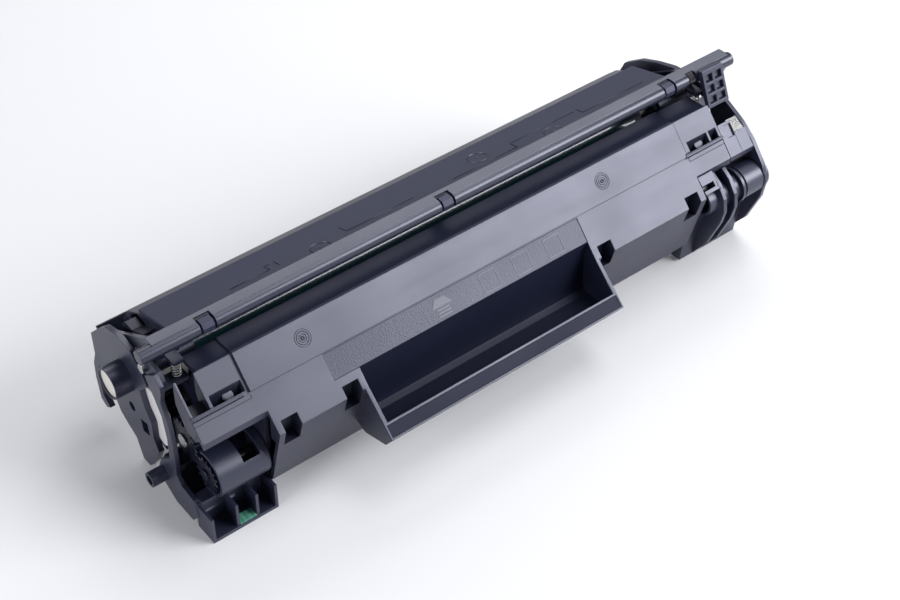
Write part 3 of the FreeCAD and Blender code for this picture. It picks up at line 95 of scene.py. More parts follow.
class CartridgeSizes(bpy.types.PropertyGroup):
    """Sizes of the fine shapes, in metres."""

    edge_round: bpy.props.FloatProperty(
        name="Edge Rounding", description="Rounding along the edges of moulded pieces",
        default=0.22 * MM, min=0.0, unit="LENGTH")
    fine_edge_round: bpy.props.FloatProperty(
        name="Fine Edge Rounding",
        description="Rounding along the edges of gears and metal pieces",
        default=0.1 * MM, min=0.0, unit="LENGTH")
    wire: bpy.props.FloatProperty(
        name="Spring Wire", description="Thickness of the spring wire",
        default=0.5 * MM, min=0.0, unit="LENGTH")
    mark_radius: bpy.props.FloatProperty(
        name="Mark Radius", description="Radius of the round marks on the top plate",
        default=4.4 * MM, min=0.0, unit="LENGTH")
    panel_gap: bpy.props.FloatProperty(
        name="Panel Height", description="Height of the grained panel over its recess",
        default=0.06 * MM, min=0.0, unit="LENGTH")


class CartridgeColours(bpy.types.PropertyGroup):
    """Colours of the finishes."""

    shell: bpy.props.FloatVectorProperty(
        name="Shell", description="Black moulded plastic",
        subtype="COLOR", size=3, min=0.0, max=1.0, default=(0.009, 0.011, 0.026))
    cream: bpy.props.FloatVectorProperty(
        name="Cream Plastic", description="Drum gear and the disc in the collar",
        subtype="COLOR", size=3, min=0.0, max=1.0, default=(0.72, 0.70, 0.66))
    white: bpy.props.FloatVectorProperty(
        name="White Plastic", description="Bearing plate at the drive end",
        subtype="COLOR", size=3, min=0.0, max=1.0, default=(0.72, 0.70, 0.72))
    steel: bpy.props.FloatVectorProperty(
        name="Steel", description="Shafts, brackets and screws",
        subtype="COLOR", size=3, min=0.0, max=1.0, default=(0.62, 0.62, 0.63))
    coating: bpy.props.FloatVectorProperty(
        name="Drum Coating", description="Glossy coating of the drum",
        subtype="COLOR", size=3, min=0.0, max=1.0, default=(0.012, 0.055, 0.07))
    board: bpy.props.FloatVectorProperty(
        name="Chip Board", description="Green board of the memory chip",
        subtype="COLOR", size=3, min=0.0, max=1.0, default=(0.05, 0.26, 0.19))
    floor: bpy.props.FloatVectorProperty(
        name="Floor", description="Pale studio floor",
        subtype="COLOR", size=3, min=0.0, max=1.0, default=(0.715, 0.72, 0.745))


def sizes():
    """The scene's sizes."""
    return bpy.context.scene.cartridge_sizes


def colours():
    """The scene's colours."""
    return bpy.context.scene.cartridge_colours


# Effects that several finishes share

def new_group(name, inputs, outputs):
    """A shader node group with float inputs and outputs, each input with its default."""
    group = bpy.data.node_groups.new(name, "ShaderNodeTree")
    for label, value in inputs:
        socket = group.interface.new_socket(label, in_out="INPUT", socket_type="NodeSocketFloat")
        socket.default_value = value
    for label in outputs:
        group.interface.new_socket(label, in_out="OUTPUT", socket_type="NodeSocketFloat")
    start = group.nodes.new("NodeGroupInput")
    end = group.nodes.new("NodeGroupOutput")
    return group, start, end


def math_node(tree, operation, first, second=None):
    """One step of arithmetic on numbers and sockets."""
    node = tree.nodes.new("ShaderNodeMath")
    node.operation = operation
    for index, value in enumerate((first, second)):
        if value is None:
            continue
        if isinstance(value, (int, float)):
            node.inputs[index].default_value = value
        else:
            tree.links.new(value, node.inputs[index])
    return node.outputs[0]


def noise_node(tree, place, scale, detail=2.0, stretch=None):
    """Noise on the object's own coordinates, optionally stretched along its axes."""
    if stretch is not None:
        mapping = tree.nodes.new("ShaderNodeMapping")
        mapping.inputs["Scale"].default_value = stretch
        tree.links.new(place, mapping.inputs["Vector"])
        place = mapping.outputs["Vector"]
    node = tree.nodes.new("ShaderNodeTexNoise")
    node.inputs["Detail"].default_value = detail
    if isinstance(scale, (int, float)):
        node.inputs["Scale"].default_value = scale
    else:
        tree.links.new(scale, node.inputs["Scale"])
    tree.links.new(place, node.inputs["Vector"])
    return node.outputs["Fac"]


def build_moulded_group():
    """Fine grain, broad cloudiness and faint flow streaks of moulded plastic."""
    group, start, end = new_group(
        "Moulded Surface",
        [("Grain Scale", 2600.0), ("Cloud", 0.12), ("Roughness", 0.38)],
        ["Height", "Roughness", "Tint"])
    place = group.nodes.new("ShaderNodeTexCoord").outputs["Object"]
    grain = noise_node(group, place, start.outputs["Grain Scale"], detail=3.0)
    cloud = noise_node(group, place, 28.0, detail=4.0)
    streak = noise_node(group, place, 120.0, detail=3.0, stretch=(0.12, 1.0, 1.0))
    cloud = math_node(group, "MULTIPLY", cloud, 0.65)
    streak = math_node(group, "MULTIPLY", streak, 0.35)
    centred = math_node(group, "SUBTRACT", math_node(group, "ADD", cloud, streak), 0.5)
    spread = math_node(group, "MULTIPLY", centred, start.outputs["Cloud"])
    rough = math_node(group, "MULTIPLY", spread, 2.0)
    rough = math_node(group, "ADD", start.outputs["Roughness"], rough)
    tint = math_node(group, "ADD", 1.0, math_node(group, "MULTIPLY", spread, 1.5))
    group.links.new(grain, end.inputs["Height"])
    group.links.new(rough, end.inputs["Roughness"])
    group.links.new(tint, end.inputs["Tint"])
    return group


def build_turned_group():
    """Fine lines along X, as left by rolling, drawing or turning metal."""
    group, start, end = new_group(
        "Drawn Lines",
        [("Line Scale", 900.0), ("Roughness", 0.3), ("Spread", 0.12)],
        ["Height", "Roughness"])
    place = group.nodes.new("ShaderNodeTexCoord").outputs["Object"]
    lines = noise_node(
        group, place, start.outputs["Line Scale"], detail=4.0, stretch=(0.02, 1.0, 1.0))
    smear = noise_node(group, place, 60.0, detail=3.0)
    centred = math_node(group, "SUBTRACT", smear, 0.5)
    rough = math_node(group, "MULTIPLY", centred, start.outputs["Spread"])
    rough = math_node(group, "ADD", start.outputs["Roughness"], rough)
    group.links.new(lines, end.inputs["Height"])
    group.links.new(rough, end.inputs["Roughness"])
    return group


GROUPS = {}


def group_node(tree, name, **values):
    """A shared effect placed in a material, with its own values."""
    node = tree.nodes.new("ShaderNodeGroup")
    node.node_tree = GROUPS[name]
    for label, value in values.items():
        node.inputs[label.replace("_", " ").title()].default_value = value
    return node


# Finishes

MATERIALS = {}
GRAIN_HEIGHT = 0.03 * MM
LINE_HEIGHT = 0.02 * MM
PIT_HEIGHT = 0.12 * MM
PIT_SCALE = 1500.0
WEAVE_SCALE = 1500.0
COAT_ROUGHNESS = 0.08
SHEEN_TINT = (0.82, 0.84, 1.0, 1.0)
MARK_GREY = (0.07, 0.07, 0.08)

# Gold pads of the chip: stripes to the metre, the part of each that stays green, their strength
PADS_TO_METRE = 420.0
PAD_START = 0.55
PAD_STRENGTH = 0.35
PAD_GOLD = (0.32, 0.42, 0.30, 1.0)

# Places of painted shade, in mm, where the shell's gloss is cut: the ledge lies behind
# LEDGE_FRONT, and the inside of the handle lies deeper than SCOOP_DEPTH under the upper face,
# within its limits
LEDGE_FRONT = -3.2
SCOOP_DEPTH = -0.2
SCOOP_LIMITS = (
    ("X", "GREATER_THAN", -69.9),
    ("X", "LESS_THAN", 48.6),
    ("Y", "LESS_THAN", -20.0),
    ("Z", "GREATER_THAN", 23.9),
)


def start_material(name):
    """A material with a bare Principled shader, kept in MATERIALS under its name."""
    material = bpy.data.materials.new(name)
    material.use_nodes = True
    tree = material.node_tree
    tree.nodes.clear()
    output = tree.nodes.new("ShaderNodeOutputMaterial")
    shader = tree.nodes.new("ShaderNodeBsdfPrincipled")
    tree.links.new(shader.outputs["BSDF"], output.inputs["Surface"])
    MATERIALS[name] = material
    return tree, shader


def bump_from(tree, shader, height, distance, strength):
    """Lets a height raise and sink the surface."""
    bump = tree.nodes.new("ShaderNodeBump")
    bump.inputs["Distance"].default_value = distance
    bump.inputs["Strength"].default_value = strength
    tree.links.new(height, bump.inputs["Height"])
    tree.links.new(bump.outputs["Normal"], shader.inputs["Normal"])


def tinted(tree, colour, tint):
    """The colour made a little lighter or darker by the tint."""
    scale = tree.nodes.new("ShaderNodeVectorMath")
    scale.operation = "SCALE"
    scale.inputs[0].default_value = colour
    tree.links.new(tint, scale.inputs["Scale"])
    return scale.outputs["Vector"]


def shade(colour, factor):
    """A colour made lighter or darker by a factor."""
    return tuple(factor * value for value in colour)


def painted_shade_places(tree):
    """Mask of painted shade: one on the ledge behind the crest and inside the handle, nought
    elsewhere.
    """
    place = tree.nodes.new("ShaderNodeTexCoord").outputs["Object"]
    split = tree.nodes.new("ShaderNodeSeparateXYZ")
    tree.links.new(place, split.inputs["Vector"])
    ledge = math_node(tree, "GREATER_THAN", split.outputs["Y"], LEDGE_FRONT * MM)
    from_crest = tree.nodes.new("ShaderNodeVectorMath")
    from_crest.operation = "SUBTRACT"
    from_crest.inputs[1].default_value = CREST
    tree.links.new(place, from_crest.inputs[0])
    height = tree.nodes.new("ShaderNodeVectorMath")
    height.operation = "DOT_PRODUCT"
    height.inputs[1].default_value = FACE_NORMAL
    tree.links.new(from_crest.outputs["Vector"], height.inputs[0])
    inside = math_node(tree, "LESS_THAN", height.outputs["Value"], SCOOP_DEPTH * MM)
    for axis, compare, limit in SCOOP_LIMITS:
        within = math_node(tree, compare, split.outputs[axis], limit * MM)
        inside = math_node(tree, "MULTIPLY", inside, within)
    return math_node(tree, "MAXIMUM", ledge, inside)


def moulded_plastic(
        name, colour, roughness=0.38, grain=2600.0, relief=0.25, cloud=0.12,
        specular=0.5, coat=0.0, painted_shade_gloss=1.0):
    """Plastic or rubber with a fine grain, and if asked painted shade as less gloss in the hollow
    places.
    """
    tree, shader = start_material(name)
    surface = group_node(
        tree, "Moulded Surface", grain_scale=grain, cloud=cloud, roughness=roughness)
    tree.links.new(tinted(tree, colour, surface.outputs["Tint"]), shader.inputs["Base Color"])
    tree.links.new(surface.outputs["Roughness"], shader.inputs["Roughness"])
    shader.inputs["Specular IOR Level"].default_value = specular
    # Painted shade: the gloss drops on the ledge and inside the handle
    if painted_shade_gloss < 1.0:
        lost = specular * (1.0 - painted_shade_gloss)
        lost = math_node(tree, "MULTIPLY", painted_shade_places(tree), lost)
        gloss = math_node(tree, "SUBTRACT", specular, lost)
        tree.links.new(gloss, shader.inputs["Specular IOR Level"])
    shader.inputs["Specular Tint"].default_value = SHEEN_TINT
    if coat:
        shader.inputs["Coat Weight"].default_value = coat
        shader.inputs["Coat Roughness"].default_value = COAT_ROUGHNESS
    bump_from(tree, shader, surface.outputs["Height"], GRAIN_HEIGHT, relief)


def bare_metal(name, colour, roughness=0.3, lines=900.0, relief=0.2):
    """Drawn or rolled metal with fine lines along the cartridge."""
    tree, shader = start_material(name)
    surface = group_node(tree, "Drawn Lines", line_scale=lines, roughness=roughness)
    shader.inputs["Base Color"].default_value = (*colour, 1.0)
    shader.inputs["Metallic"].default_value = 1.0
    tree.links.new(surface.outputs["Roughness"], shader.inputs["Roughness"])
    bump_from(tree, shader, surface.outputs["Height"], LINE_HEIGHT, relief)


def grained_panel(name, colour):
    """Spark-eroded texture, as on a plain label recess."""
    tree, shader = start_material(name)
    surface = group_node(
        tree, "Moulded Surface", grain_scale=900.0, cloud=0.1, roughness=0.46)
    shader.inputs["Specular IOR Level"].default_value = 0.8
    shader.inputs["Specular Tint"].default_value = SHEEN_TINT
    place = tree.nodes.new("ShaderNodeTexCoord").outputs["Object"]
    pits = tree.nodes.new("ShaderNodeTexVoronoi")
    pits.inputs["Scale"].default_value = PIT_SCALE
    tree.links.new(place, pits.inputs["Vector"])
    height = math_node(tree, "MULTIPLY", pits.outputs["Distance"], 0.8)
    height = math_node(tree, "ADD", surface.outputs["Height"], height)
    tree.links.new(tinted(tree, colour, surface.outputs["Tint"]), shader.inputs["Base Color"])
    tree.links.new(surface.outputs["Roughness"], shader.inputs["Roughness"])
    bump_from(tree, shader, height, PIT_HEIGHT, 0.55)


def circuit_board(name, colour):
    """Green board with plain gold pads in a row."""
    tree, shader = start_material(name)
    place = tree.nodes.new("ShaderNodeTexCoord").outputs["Object"]
    split = tree.nodes.new("ShaderNodeSeparateXYZ")
    tree.links.new(place, split.inputs["Vector"])
    stripe = math_node(tree, "MULTIPLY", split.outputs["X"], PADS_TO_METRE)
    pad = math_node(tree, "GREATER_THAN", math_node(tree, "FRACT", stripe), PAD_START)
    weave = noise_node(tree, place, WEAVE_SCALE)
    mix = tree.nodes.new("ShaderNodeMix")
    mix.data_type = "RGBA"
    mix.inputs["A"].default_value = (*colour, 1.0)
    mix.inputs["B"].default_value = PAD_GOLD
    tree.links.new(math_node(tree, "MULTIPLY", pad, PAD_STRENGTH), mix.inputs["Factor"])
    tree.links.new(mix.outputs["Result"], shader.inputs["Base Color"])
    shader.inputs["Roughness"].default_value = 0.3
    bump_from(tree, shader, weave, GRAIN_HEIGHT, 0.2)


def make_finishes():
    """Builds the shared effects, then each finish under its name."""
    GROUPS["Moulded Surface"] = build_moulded_group()
    GROUPS["Drawn Lines"] = build_turned_group()
    tone = colours()
    shell = tuple(tone.shell)
    darker = shade(shell, 0.75)
    matt = {"roughness": 0.44, "grain": 2200.0, "relief": 0.3, "cloud": 0.16}
    # The shell keeps a quarter of its gloss on the ledge and inside the handle, as painted shade
    moulded_plastic("shell", shell, specular=1.0, painted_shade_gloss=0.25, **matt)
    # A copy of the shell with little gloss for the sunk lip, as painted shade
    moulded_plastic("lip_painted_shade", shell, specular=0.15, **matt)
    moulded_plastic(
        "top_plate", shade(shell, 1.7), roughness=0.5, grain=1500.0, relief=0.4, cloud=0.1,
        specular=0.6)
    moulded_plastic("end_cap", shade(shell, 1.3), roughness=0.42, specular=1.0)
    moulded_plastic("plate", shell, roughness=0.42, cloud=0.1)
    moulded_plastic("bar", shell, roughness=0.34, cloud=0.1, specular=0.85)
    moulded_plastic("mark", MARK_GREY, roughness=0.45, cloud=0.05, specular=0.8)
    moulded_plastic("hidden", darker, roughness=0.5)
    moulded_plastic("gear", darker, roughness=0.35)
    moulded_plastic("cream", tuple(tone.cream), roughness=0.32, cloud=0.05)
    moulded_plastic("white", tuple(tone.white), roughness=0.35, cloud=0.05)
    moulded_plastic("rubber", (0.02, 0.02, 0.021), roughness=0.6, grain=900.0, relief=0.4)
    moulded_plastic("blade", (0.34, 0.23, 0.08), roughness=0.4)
    moulded_plastic("film", (0.55, 0.57, 0.60), roughness=0.2)
    moulded_plastic("coating", tuple(tone.coating), roughness=0.22, relief=0.05, coat=0.6)
    bare_metal("steel", tuple(tone.steel), roughness=0.28)
    bare_metal("spring", (0.55, 0.55, 0.56), roughness=0.3)
    bare_metal("dark_spring", (0.16, 0.16, 0.17), roughness=0.35)
    bare_metal("bright", (0.85, 0.85, 0.84), roughness=0.2)
    bare_metal("sleeve", (0.20, 0.20, 0.21), roughness=0.42, lines=2500.0, relief=0.4)
    bare_metal("magnet", (0.12, 0.12, 0.12), roughness=0.6)
    grained_panel("label_panel", shade(shell, 1.1))
    circuit_board("board", tuple(tone.board))


# Meshes

def body_of(node):
    """The body that a CAD node rides on."""
    return next(body for body, members in BODIES.items() if node in members)


def add_piece(name, mesh_data, material, body):
    """Puts a finished mesh in the scene, at the origin, riding on a body."""
    mesh = bpy.data.meshes.new(name)
    mesh_data.to_mesh(mesh)
    mesh_data.free()
    piece = bpy.data.objects.new(name, mesh)
    bpy.context.scene.collection.objects.link(piece)
    mesh.materials.append(MATERIALS[material])
    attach(piece, body)
    return piece


def all_edges(verts):
    """The edges that meet at the vertices, each once."""
    return list({edge for vert in verts for edge in vert.link_edges})


def all_faces(verts):
    """The faces that meet at the vertices, each once."""
    return list({face for vert in verts for face in vert.link_faces})


def smooth_faces(shape):
    """Smooth shading, with sharp edges where two faces meet at a crease."""
    for face in shape.faces:
        face.smooth = True
    for edge in shape.edges:
        edge.smooth = len(edge.link_faces) == 2 and edge.calc_face_angle(0.0) < CREASE


def hollow_lip(shape):
    """Sinks the lip of the handle a little inside a narrow rim, with a second finish of painted
    shade.
    """
    lip = [
        face for face in shape.faces
        if face.normal.dot(LIP_NORMAL) > PARALLEL
        and all(vert.co.y < LIP_TOP for vert in face.verts)]
    for thickness, depth in ((LIP_RIM, 0.0), (LIP_WALL, -LIP_DEPTH)):
        bmesh.ops.inset_region(
            shape, faces=lip, thickness=thickness, depth=depth,
            use_boundary=True, use_even_offset=True)
    for face in lip:
        face.material_index = 1


def dress(node, material, rounding, segments=2):
    """A merged copy of a CAD node with rounded edges, which stands for the node."""
    shape = bmesh.new()
    shape.from_mesh(NODES[node].data)
    bmesh.ops.remove_doubles(shape, verts=shape.verts, dist=MERGED)
    has_lip = node == "hopper_cover"
    if has_lip:
        hollow_lip(shape)
    sharp = [
        edge for edge in shape.edges
        if len(edge.link_faces) == 2 and edge.calc_face_angle(0.0) > ROUNDED]
    if rounding > 0 and sharp:
        bmesh.ops.bevel(
            shape, geom=sharp, offset=rounding, offset_type="OFFSET", segments=segments,
            profile=0.5, affect="EDGES", clamp_overlap=False, material=-1,
            miter_outer="SHARP", loop_slide=True)
    smooth_faces(shape)
    piece = add_piece("dressed_" + node, shape, material, body_of(node))
    # The lip's second finish is painted shade
    if has_lip:
        piece.data.materials.append(MATERIALS["lip_painted_shade"])
    even = piece.modifiers.new("Even Flats", "WEIGHTED_NORMAL")
    even.mode = "FACE_AREA"
    even.weight = 50
    even.keep_sharp = True
    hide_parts(node)


def upright_circle(shape, width, place):
    """Adds the round section of a wire in the plane of X and Z, moved to its place."""
    ring = bmesh.ops.create_circle(
        shape, cap_ends=False, segments=WIRE_SIDES, radius=width / 2)["verts"]
    upright = Matrix.Rotation(math.pi / 2, 3, "X")
    bmesh.ops.rotate(shape, verts=ring, cent=(0, 0, 0), matrix=upright)
    bmesh.ops.translate(shape, verts=ring, vec=place)
    return ring


def coil(centre, radius, rise, turns, wire, axis="Z", steps=20):
    """A helical spring of round wire, wound about an axis through centre."""
    shape = bmesh.new()
    ring = upright_circle(shape, wire, (radius - wire / 2, 0, wire / 2))
    count = int(turns * steps)
    bmesh.ops.spin(
        shape, geom=ring + all_edges(ring), cent=(0, 0, 0), axis=(0, 0, 1),
        dvec=(0, 0, (rise - wire) / count), angle=2 * math.pi * turns, steps=count,
        use_duplicate=False)
    ends = [edge for edge in shape.edges if edge.is_boundary]
    bmesh.ops.holes_fill(shape, edges=ends, sides=0)
    bmesh.ops.recalc_face_normals(shape, faces=shape.faces)
    if axis == "X":
        lying = Matrix.Rotation(math.pi / 2, 3, "Y")
        bmesh.ops.rotate(shape, verts=shape.verts, cent=(0, 0, 0), matrix=lying)
    bmesh.ops.translate(shape, verts=shape.verts, vec=centre)
    smooth_faces(shape)
    return shape


def facing(normal, spot):
    """A placement at spot with its own Z along normal and its own X along the cartridge."""
    side = Vector((1, 0, 0))
    turn = Matrix((side, normal.cross(side), normal)).transposed().to_4x4()
    return Matrix.Translation(spot) @ turn


def ring_into(shape, radius, thickness, placement, steps=40):
    """Adds a thin round ring to the shape."""
    ring = upright_circle(shape, thickness, (radius, 0, 0))
    before = set(shape.verts)
    bmesh.ops.spin(
        shape, geom=ring + all_edges(ring), cent=(0, 0, 0), axis=(0, 0, 1), dvec=(0, 0, 0),
        angle=2 * math.pi, steps=steps, use_merge=True, use_duplicate=False)
    made = [vert for vert in shape.verts if vert not in before or vert in ring]
    bmesh.ops.recalc_face_normals(shape, faces=all_faces(made))
    bmesh.ops.transform(shape, matrix=placement, verts=made)


def bar_into(shape, size, placement):
    """Adds a thin bar with softened edges to the shape."""
    verts = bmesh.ops.create_cube(shape, size=1.0)["verts"]
    bmesh.ops.scale(shape, vec=size, verts=verts)
    result = bmesh.ops.bevel(
        shape, geom=all_edges(verts), offset=min(size) * SOFTENED, offset_type="OFFSET",
        segments=1, profile=0.5, affect="EDGES", clamp_overlap=True, material=-1)
    made = list({vert for vert in verts if vert.is_valid} | set(result["verts"]))
    bmesh.ops.transform(shape, matrix=placement, verts=made)


def raise_faces(shape, faces, rise, placement):
    """Gives flat faces a height, turns them outwards and puts them in place."""
    raised = bmesh.ops.extrude_face_region(shape, geom=faces)["geom"]
    top = [item for item in raised if isinstance(item, bmesh.types.BMVert)]
    bmesh.ops.translate(shape, verts=top, vec=(0, 0, rise))
    made = list({vert for face in all_faces(top) for vert in face.verts})
    bmesh.ops.recalc_face_normals(shape, faces=all_faces(made))
    bmesh.ops.transform(shape, matrix=placement, verts=made)


def plate_into(shape, outline, rise, placement):
    """Adds a flat plate whose outline is given in its own plane."""
    verts = [shape.verts.new((across, up, 0.0)) for across, up in outline]
    raise_faces(shape, [shape.faces.new(verts)], rise, placement)


def frame_into(shape, width, height, corner, thickness, rise, placement):
    """Adds the raised outline of a rounded square."""
    verts = bmesh.ops.create_grid(shape, x_segments=1, y_segments=1, size=0.5)["verts"]
    bmesh.ops.scale(shape, vec=(width, height, 1.0), verts=verts)
    rounded = bmesh.ops.bevel(
        shape, geom=verts, offset=corner, offset_type="OFFSET", segments=4, profile=0.5,
        affect="VERTICES", clamp_overlap=True, material=-1)["verts"]
    middle = max(all_faces(rounded), key=lambda face: face.calc_area())
    rim = bmesh.ops.inset_region(
        shape, faces=[middle], thickness=thickness, use_boundary=True, use_even_offset=True)
    bmesh.ops.delete(shape, geom=[middle], context="FACES_ONLY")
    raise_faces(shape, rim["faces"], rise, placement)


def line_into(shape, first, second, normal, width, rise):
    """Adds a thin raised line between two places on a flat face."""
    along = (second - first).normalized()
    turn = Matrix((along, normal.cross(along), normal)).transposed().to_4x4()
    placement = Matrix.Translation((first + second) / 2) @ turn
    bar_into(shape, ((second - first).length + width, width, rise), placement)


# Pieces

# The finish of each node, by the way that its edges are rounded
SHELL_NODES = {
    "hopper_cover": "shell",
    "toner_hopper": "shell",
    "waste_bin": "plate",
    "waste_bin_lid": "top_plate",
    "left_end_plate": "end_cap",
    "right_end_plate": "end_cap",
    "left_end_cap": "end_cap",
    "right_end_cap": "end_cap",
    "drum_shutter": "bar",
    "sleeve_bearing_plate": "white",
    "fill_plug": "hidden",
    "drum_flange": "hidden",
    "charge_holder_left": "hidden",
    "charge_holder_right": "hidden",
    "sleeve_bush_left": "hidden",
    "sleeve_bush_right": "hidden",
}
GEAR_NODES = {
    "drum_gear": "cream",
    "sleeve_gear": "gear",
    "idler_gear": "gear",
    "agitator_gear": "gear",
    "agitator_shaft": "gear",
}
METAL_NODES = {
    "idler_pin": "steel",
    "drum_axle": "steel",
    "hinge_pin_left": "steel",
    "hinge_pin_right": "steel",
    "charge_core": "steel",
    "doctor_bracket": "steel",
    "wiper_bracket": "steel",
    "end_screws": "steel",
    "doctor_screws": "steel",
    "bias_contact": "bright",
    "developer_sleeve": "sleeve",
    "magnet_core": "magnet",
}
SOFT_NODES = {
    "drum_tube": "coating",
    "charge_rubber": "rubber",
    "doctor_blade": "blade",
    "wiper_blade": "blade",
    "agitator_film": "film",
    "memory_chip": "board",
}
SPRINGS = (
    "separation_spring_left",
    "separation_spring_right",
    "charge_spring_left",
    "charge_spring_right",
)

# A spring that rises more than TALL has more turns, and the bar's spring has finer steps
TALL = 4 * MM
TALL_TURNS = 5.5
SHORT_TURNS = 2.5
FINE_STEPS = 28


class CARTRIDGE_OT_shell(bpy.types.Operator):
    """Rounds and finishes the moulded pieces"""

    bl_idname = "cartridge.shell"
    bl_label = "Moulded Pieces"

    def execute(self, context):
        for node, material in SHELL_NODES.items():
            dress(node, material, sizes().edge_round)
        return {"FINISHED"}


class CARTRIDGE_OT_gears(bpy.types.Operator):
    """Rounds and finishes the gears and the agitator"""

    bl_idname = "cartridge.gears"
    bl_label = "Gears"

    def execute(self, context):
        for node, material in GEAR_NODES.items():
            dress(node, material, sizes().fine_edge_round, segments=1)
        return {"FINISHED"}


class CARTRIDGE_OT_metal(bpy.types.Operator):
    """Rounds and finishes the shafts, brackets, screws and contacts"""

    bl_idname = "cartridge.metal"
    bl_label = "Metal Pieces"

    def execute(self, context):
        for node, material in METAL_NODES.items():
            dress(node, material, sizes().fine_edge_round)
        return {"FINISHED"}


class CARTRIDGE_OT_soft(bpy.types.Operator):
    """Finishes the drum, the charge roller, the blades, the film and the chip"""

    bl_idname = "cartridge.soft"
    bl_label = "Drum, Rubber and Film"

    def execute(self, context):
        for node, material in SOFT_NODES.items():
            dress(node, material, 0.0)
        return {"FINISHED"}


class CARTRIDGE_OT_springs(bpy.types.Operator):
    """Winds the springs from wire"""

    bl_idname = "cartridge.springs"
    bl_label = "Springs"

    def execute(self, context):
        wire = sizes().wire
        for node in SPRINGS:
            low, high = (Vector(corner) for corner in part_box(node))
            middle = (low + high) / 2
            rise = high.z - low.z
            radius = (high.x - low.x) / 2
            turns = TALL_TURNS if rise > TALL else SHORT_TURNS
            shape = coil((middle.x, middle.y, low.z), radius, rise, turns, wire)
            piece = add_piece("wound_" + node, shape, "spring", body_of(node))
            if node.startswith("separation"):
                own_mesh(piece)
            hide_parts(node)
        node = "shutter_spring"
        low, high = (Vector(corner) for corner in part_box(node))
        middle = (low + high) / 2
        shape = coil(
            (low.x, middle.y, middle.z), (high.z - low.z) / 2, high.x - low.x, TALL_TURNS, wire,
            axis="X", steps=FINE_STEPS)
        piece = add_piece("wound_" + node, shape, "dark_spring", body_of(node))
        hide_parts("shutter_spring")
        return {"FINISHED"}


def on_face(along, y, raised=False):
    """A point of the upper face at a station and a Y, in metres, or of its raised part."""
    start = CREST + PROUD if raised else CREST
    spot = start + SLOPE * ((y - start.y) / SLOPE.y)
    return Vector((along, spot.y, spot.z))


def on_lid(along, y):
    """A point of the top plate at a station and a Y, in metres."""
    return Vector((along, y, LID_EDGE.z - (y - LID_EDGE.y) * LID_NORMAL.y / LID_NORMAL.z))


# The grained panel, in mm: its ends, its edges in Y, how deep its recess is and its thickness
PANEL_LEFT, PANEL_RIGHT = -81.2, 48.3
PANEL_UPPER, PANEL_LOWER = -15.3, -22.5
RECESS = 0.245
PANEL_THICKNESS = 0.05

# The marks on it, in mm: an arrow of a head over plain bars, and the outlines of squares
MARKS_Y = -18.9
ARROW_STATION = -25.8
ARROW_HEAD = ((-5.0, 0.2), (5.0, 0.2), (2.4, 3.6), (-2.4, 3.6))
HEAD_RISE = 0.14
ARROW_BARS = 3
BAR_SIZE = (6.2, 0.85, 0.18)
BAR_START, BAR_STEP, BAR_LIFT = 0.9, 1.35, 0.06

# Each square's width, height, corner, thickness of its outline and rise
SQUARE_STATIONS = (-1.4, 15.7, 32.9)
SQUARE_SIZES = (8.6, 8.2, 0.9, 0.32, 0.13)


class CARTRIDGE_OT_panel(bpy.types.Operator):
    """Lays the grained panel in its recess, with a plain arrow and plain squares"""

    bl_idname = "cartridge.panel"
    bl_label = "Grained Panel"

    def execute(self, context):
        body = body_of("hopper_cover")
        drop = Vector((0.0, RECESS * MM, -RECESS * MM)) + FACE_NORMAL * sizes().panel_gap
        shape = bmesh.new()
        verts = [
            shape.verts.new(on_face(along * MM, y * MM) + drop)
            for along, y in (
                (PANEL_LEFT, PANEL_UPPER),
                (PANEL_RIGHT, PANEL_UPPER),
                (PANEL_RIGHT, PANEL_LOWER),
                (PANEL_LEFT, PANEL_LOWER),
            )]
        face = shape.faces.new(verts)
        if face.normal.dot(FACE_NORMAL) < 0:
            bmesh.ops.reverse_faces(shape, faces=[face])
        bmesh.ops.recalc_face_normals(shape, faces=shape.faces)
        bmesh.ops.solidify(shape, geom=shape.faces[:], thickness=PANEL_THICKNESS * MM)
        add_piece("label_panel_grain", shape, "label_panel", body)
        marks = bmesh.new()
        middle = on_face(ARROW_STATION * MM, MARKS_Y * MM) + drop
        head = [(along * MM, up * MM) for along, up in ARROW_HEAD]
        plate_into(marks, head, HEAD_RISE * MM, facing(FACE_NORMAL, middle))
        for row in range(ARROW_BARS):
            down = (BAR_START + BAR_STEP * row) * MM
            spot = middle + SLOPE * down + FACE_NORMAL * (BAR_LIFT * MM)
            bar_into(marks, [size * MM for size in BAR_SIZE], facing(FACE_NORMAL, spot))
        for along in SQUARE_STATIONS:
            spot = on_face(along * MM, MARKS_Y * MM) + drop
            frame_into(marks, *(size * MM for size in SQUARE_SIZES), facing(FACE_NORMAL, spot))
        smooth_faces(marks)
        add_piece("label_panel_marks", marks, "mark", body)
        return {"FINISHED"}


# Moulding marks of the upper face, in mm: station and Y of each, radius and width of its rings
FACE_MARKS = ((-86.1, -9.6), (66.7, -9.9))
FACE_RINGS = ((0.6, 0.7), (1.6, 0.34), (2.6, 0.4), (3.5, 0.3))

# Round marks of the top plate, in mm: station and Y of each, width of the ring, radius of its dot
LID_MARKS = ((-56.7, 19.0), (29.2, 27.1), (64.2, 18.6))
LID_RING = 0.6
LID_DOT = 0.5
RING_STEPS = 56
DOT_STEPS = 16

# Raised lines of the top plate, in mm: station and Y of each corner, their width and height
LINE_WIDTH = 0.4
LINE_RISE = 0.5
LID_LINES = (
    ((-42.8, 26.4), (-42.5, 21.4), (-9.0, 21.4)),
    ((11.0, 20.4), (45.4, 20.4), (45.4, 25.5), (81.0, 25.5)),
    ((83.6, 26.3), (83.3, 21.8), (118.0, 21.8)),
    ((-98.0, 21.4), (-79.5, 21.4), (-79.5, 25.4), (-74.8, 25.4), (-74.8, 21.4)),
)


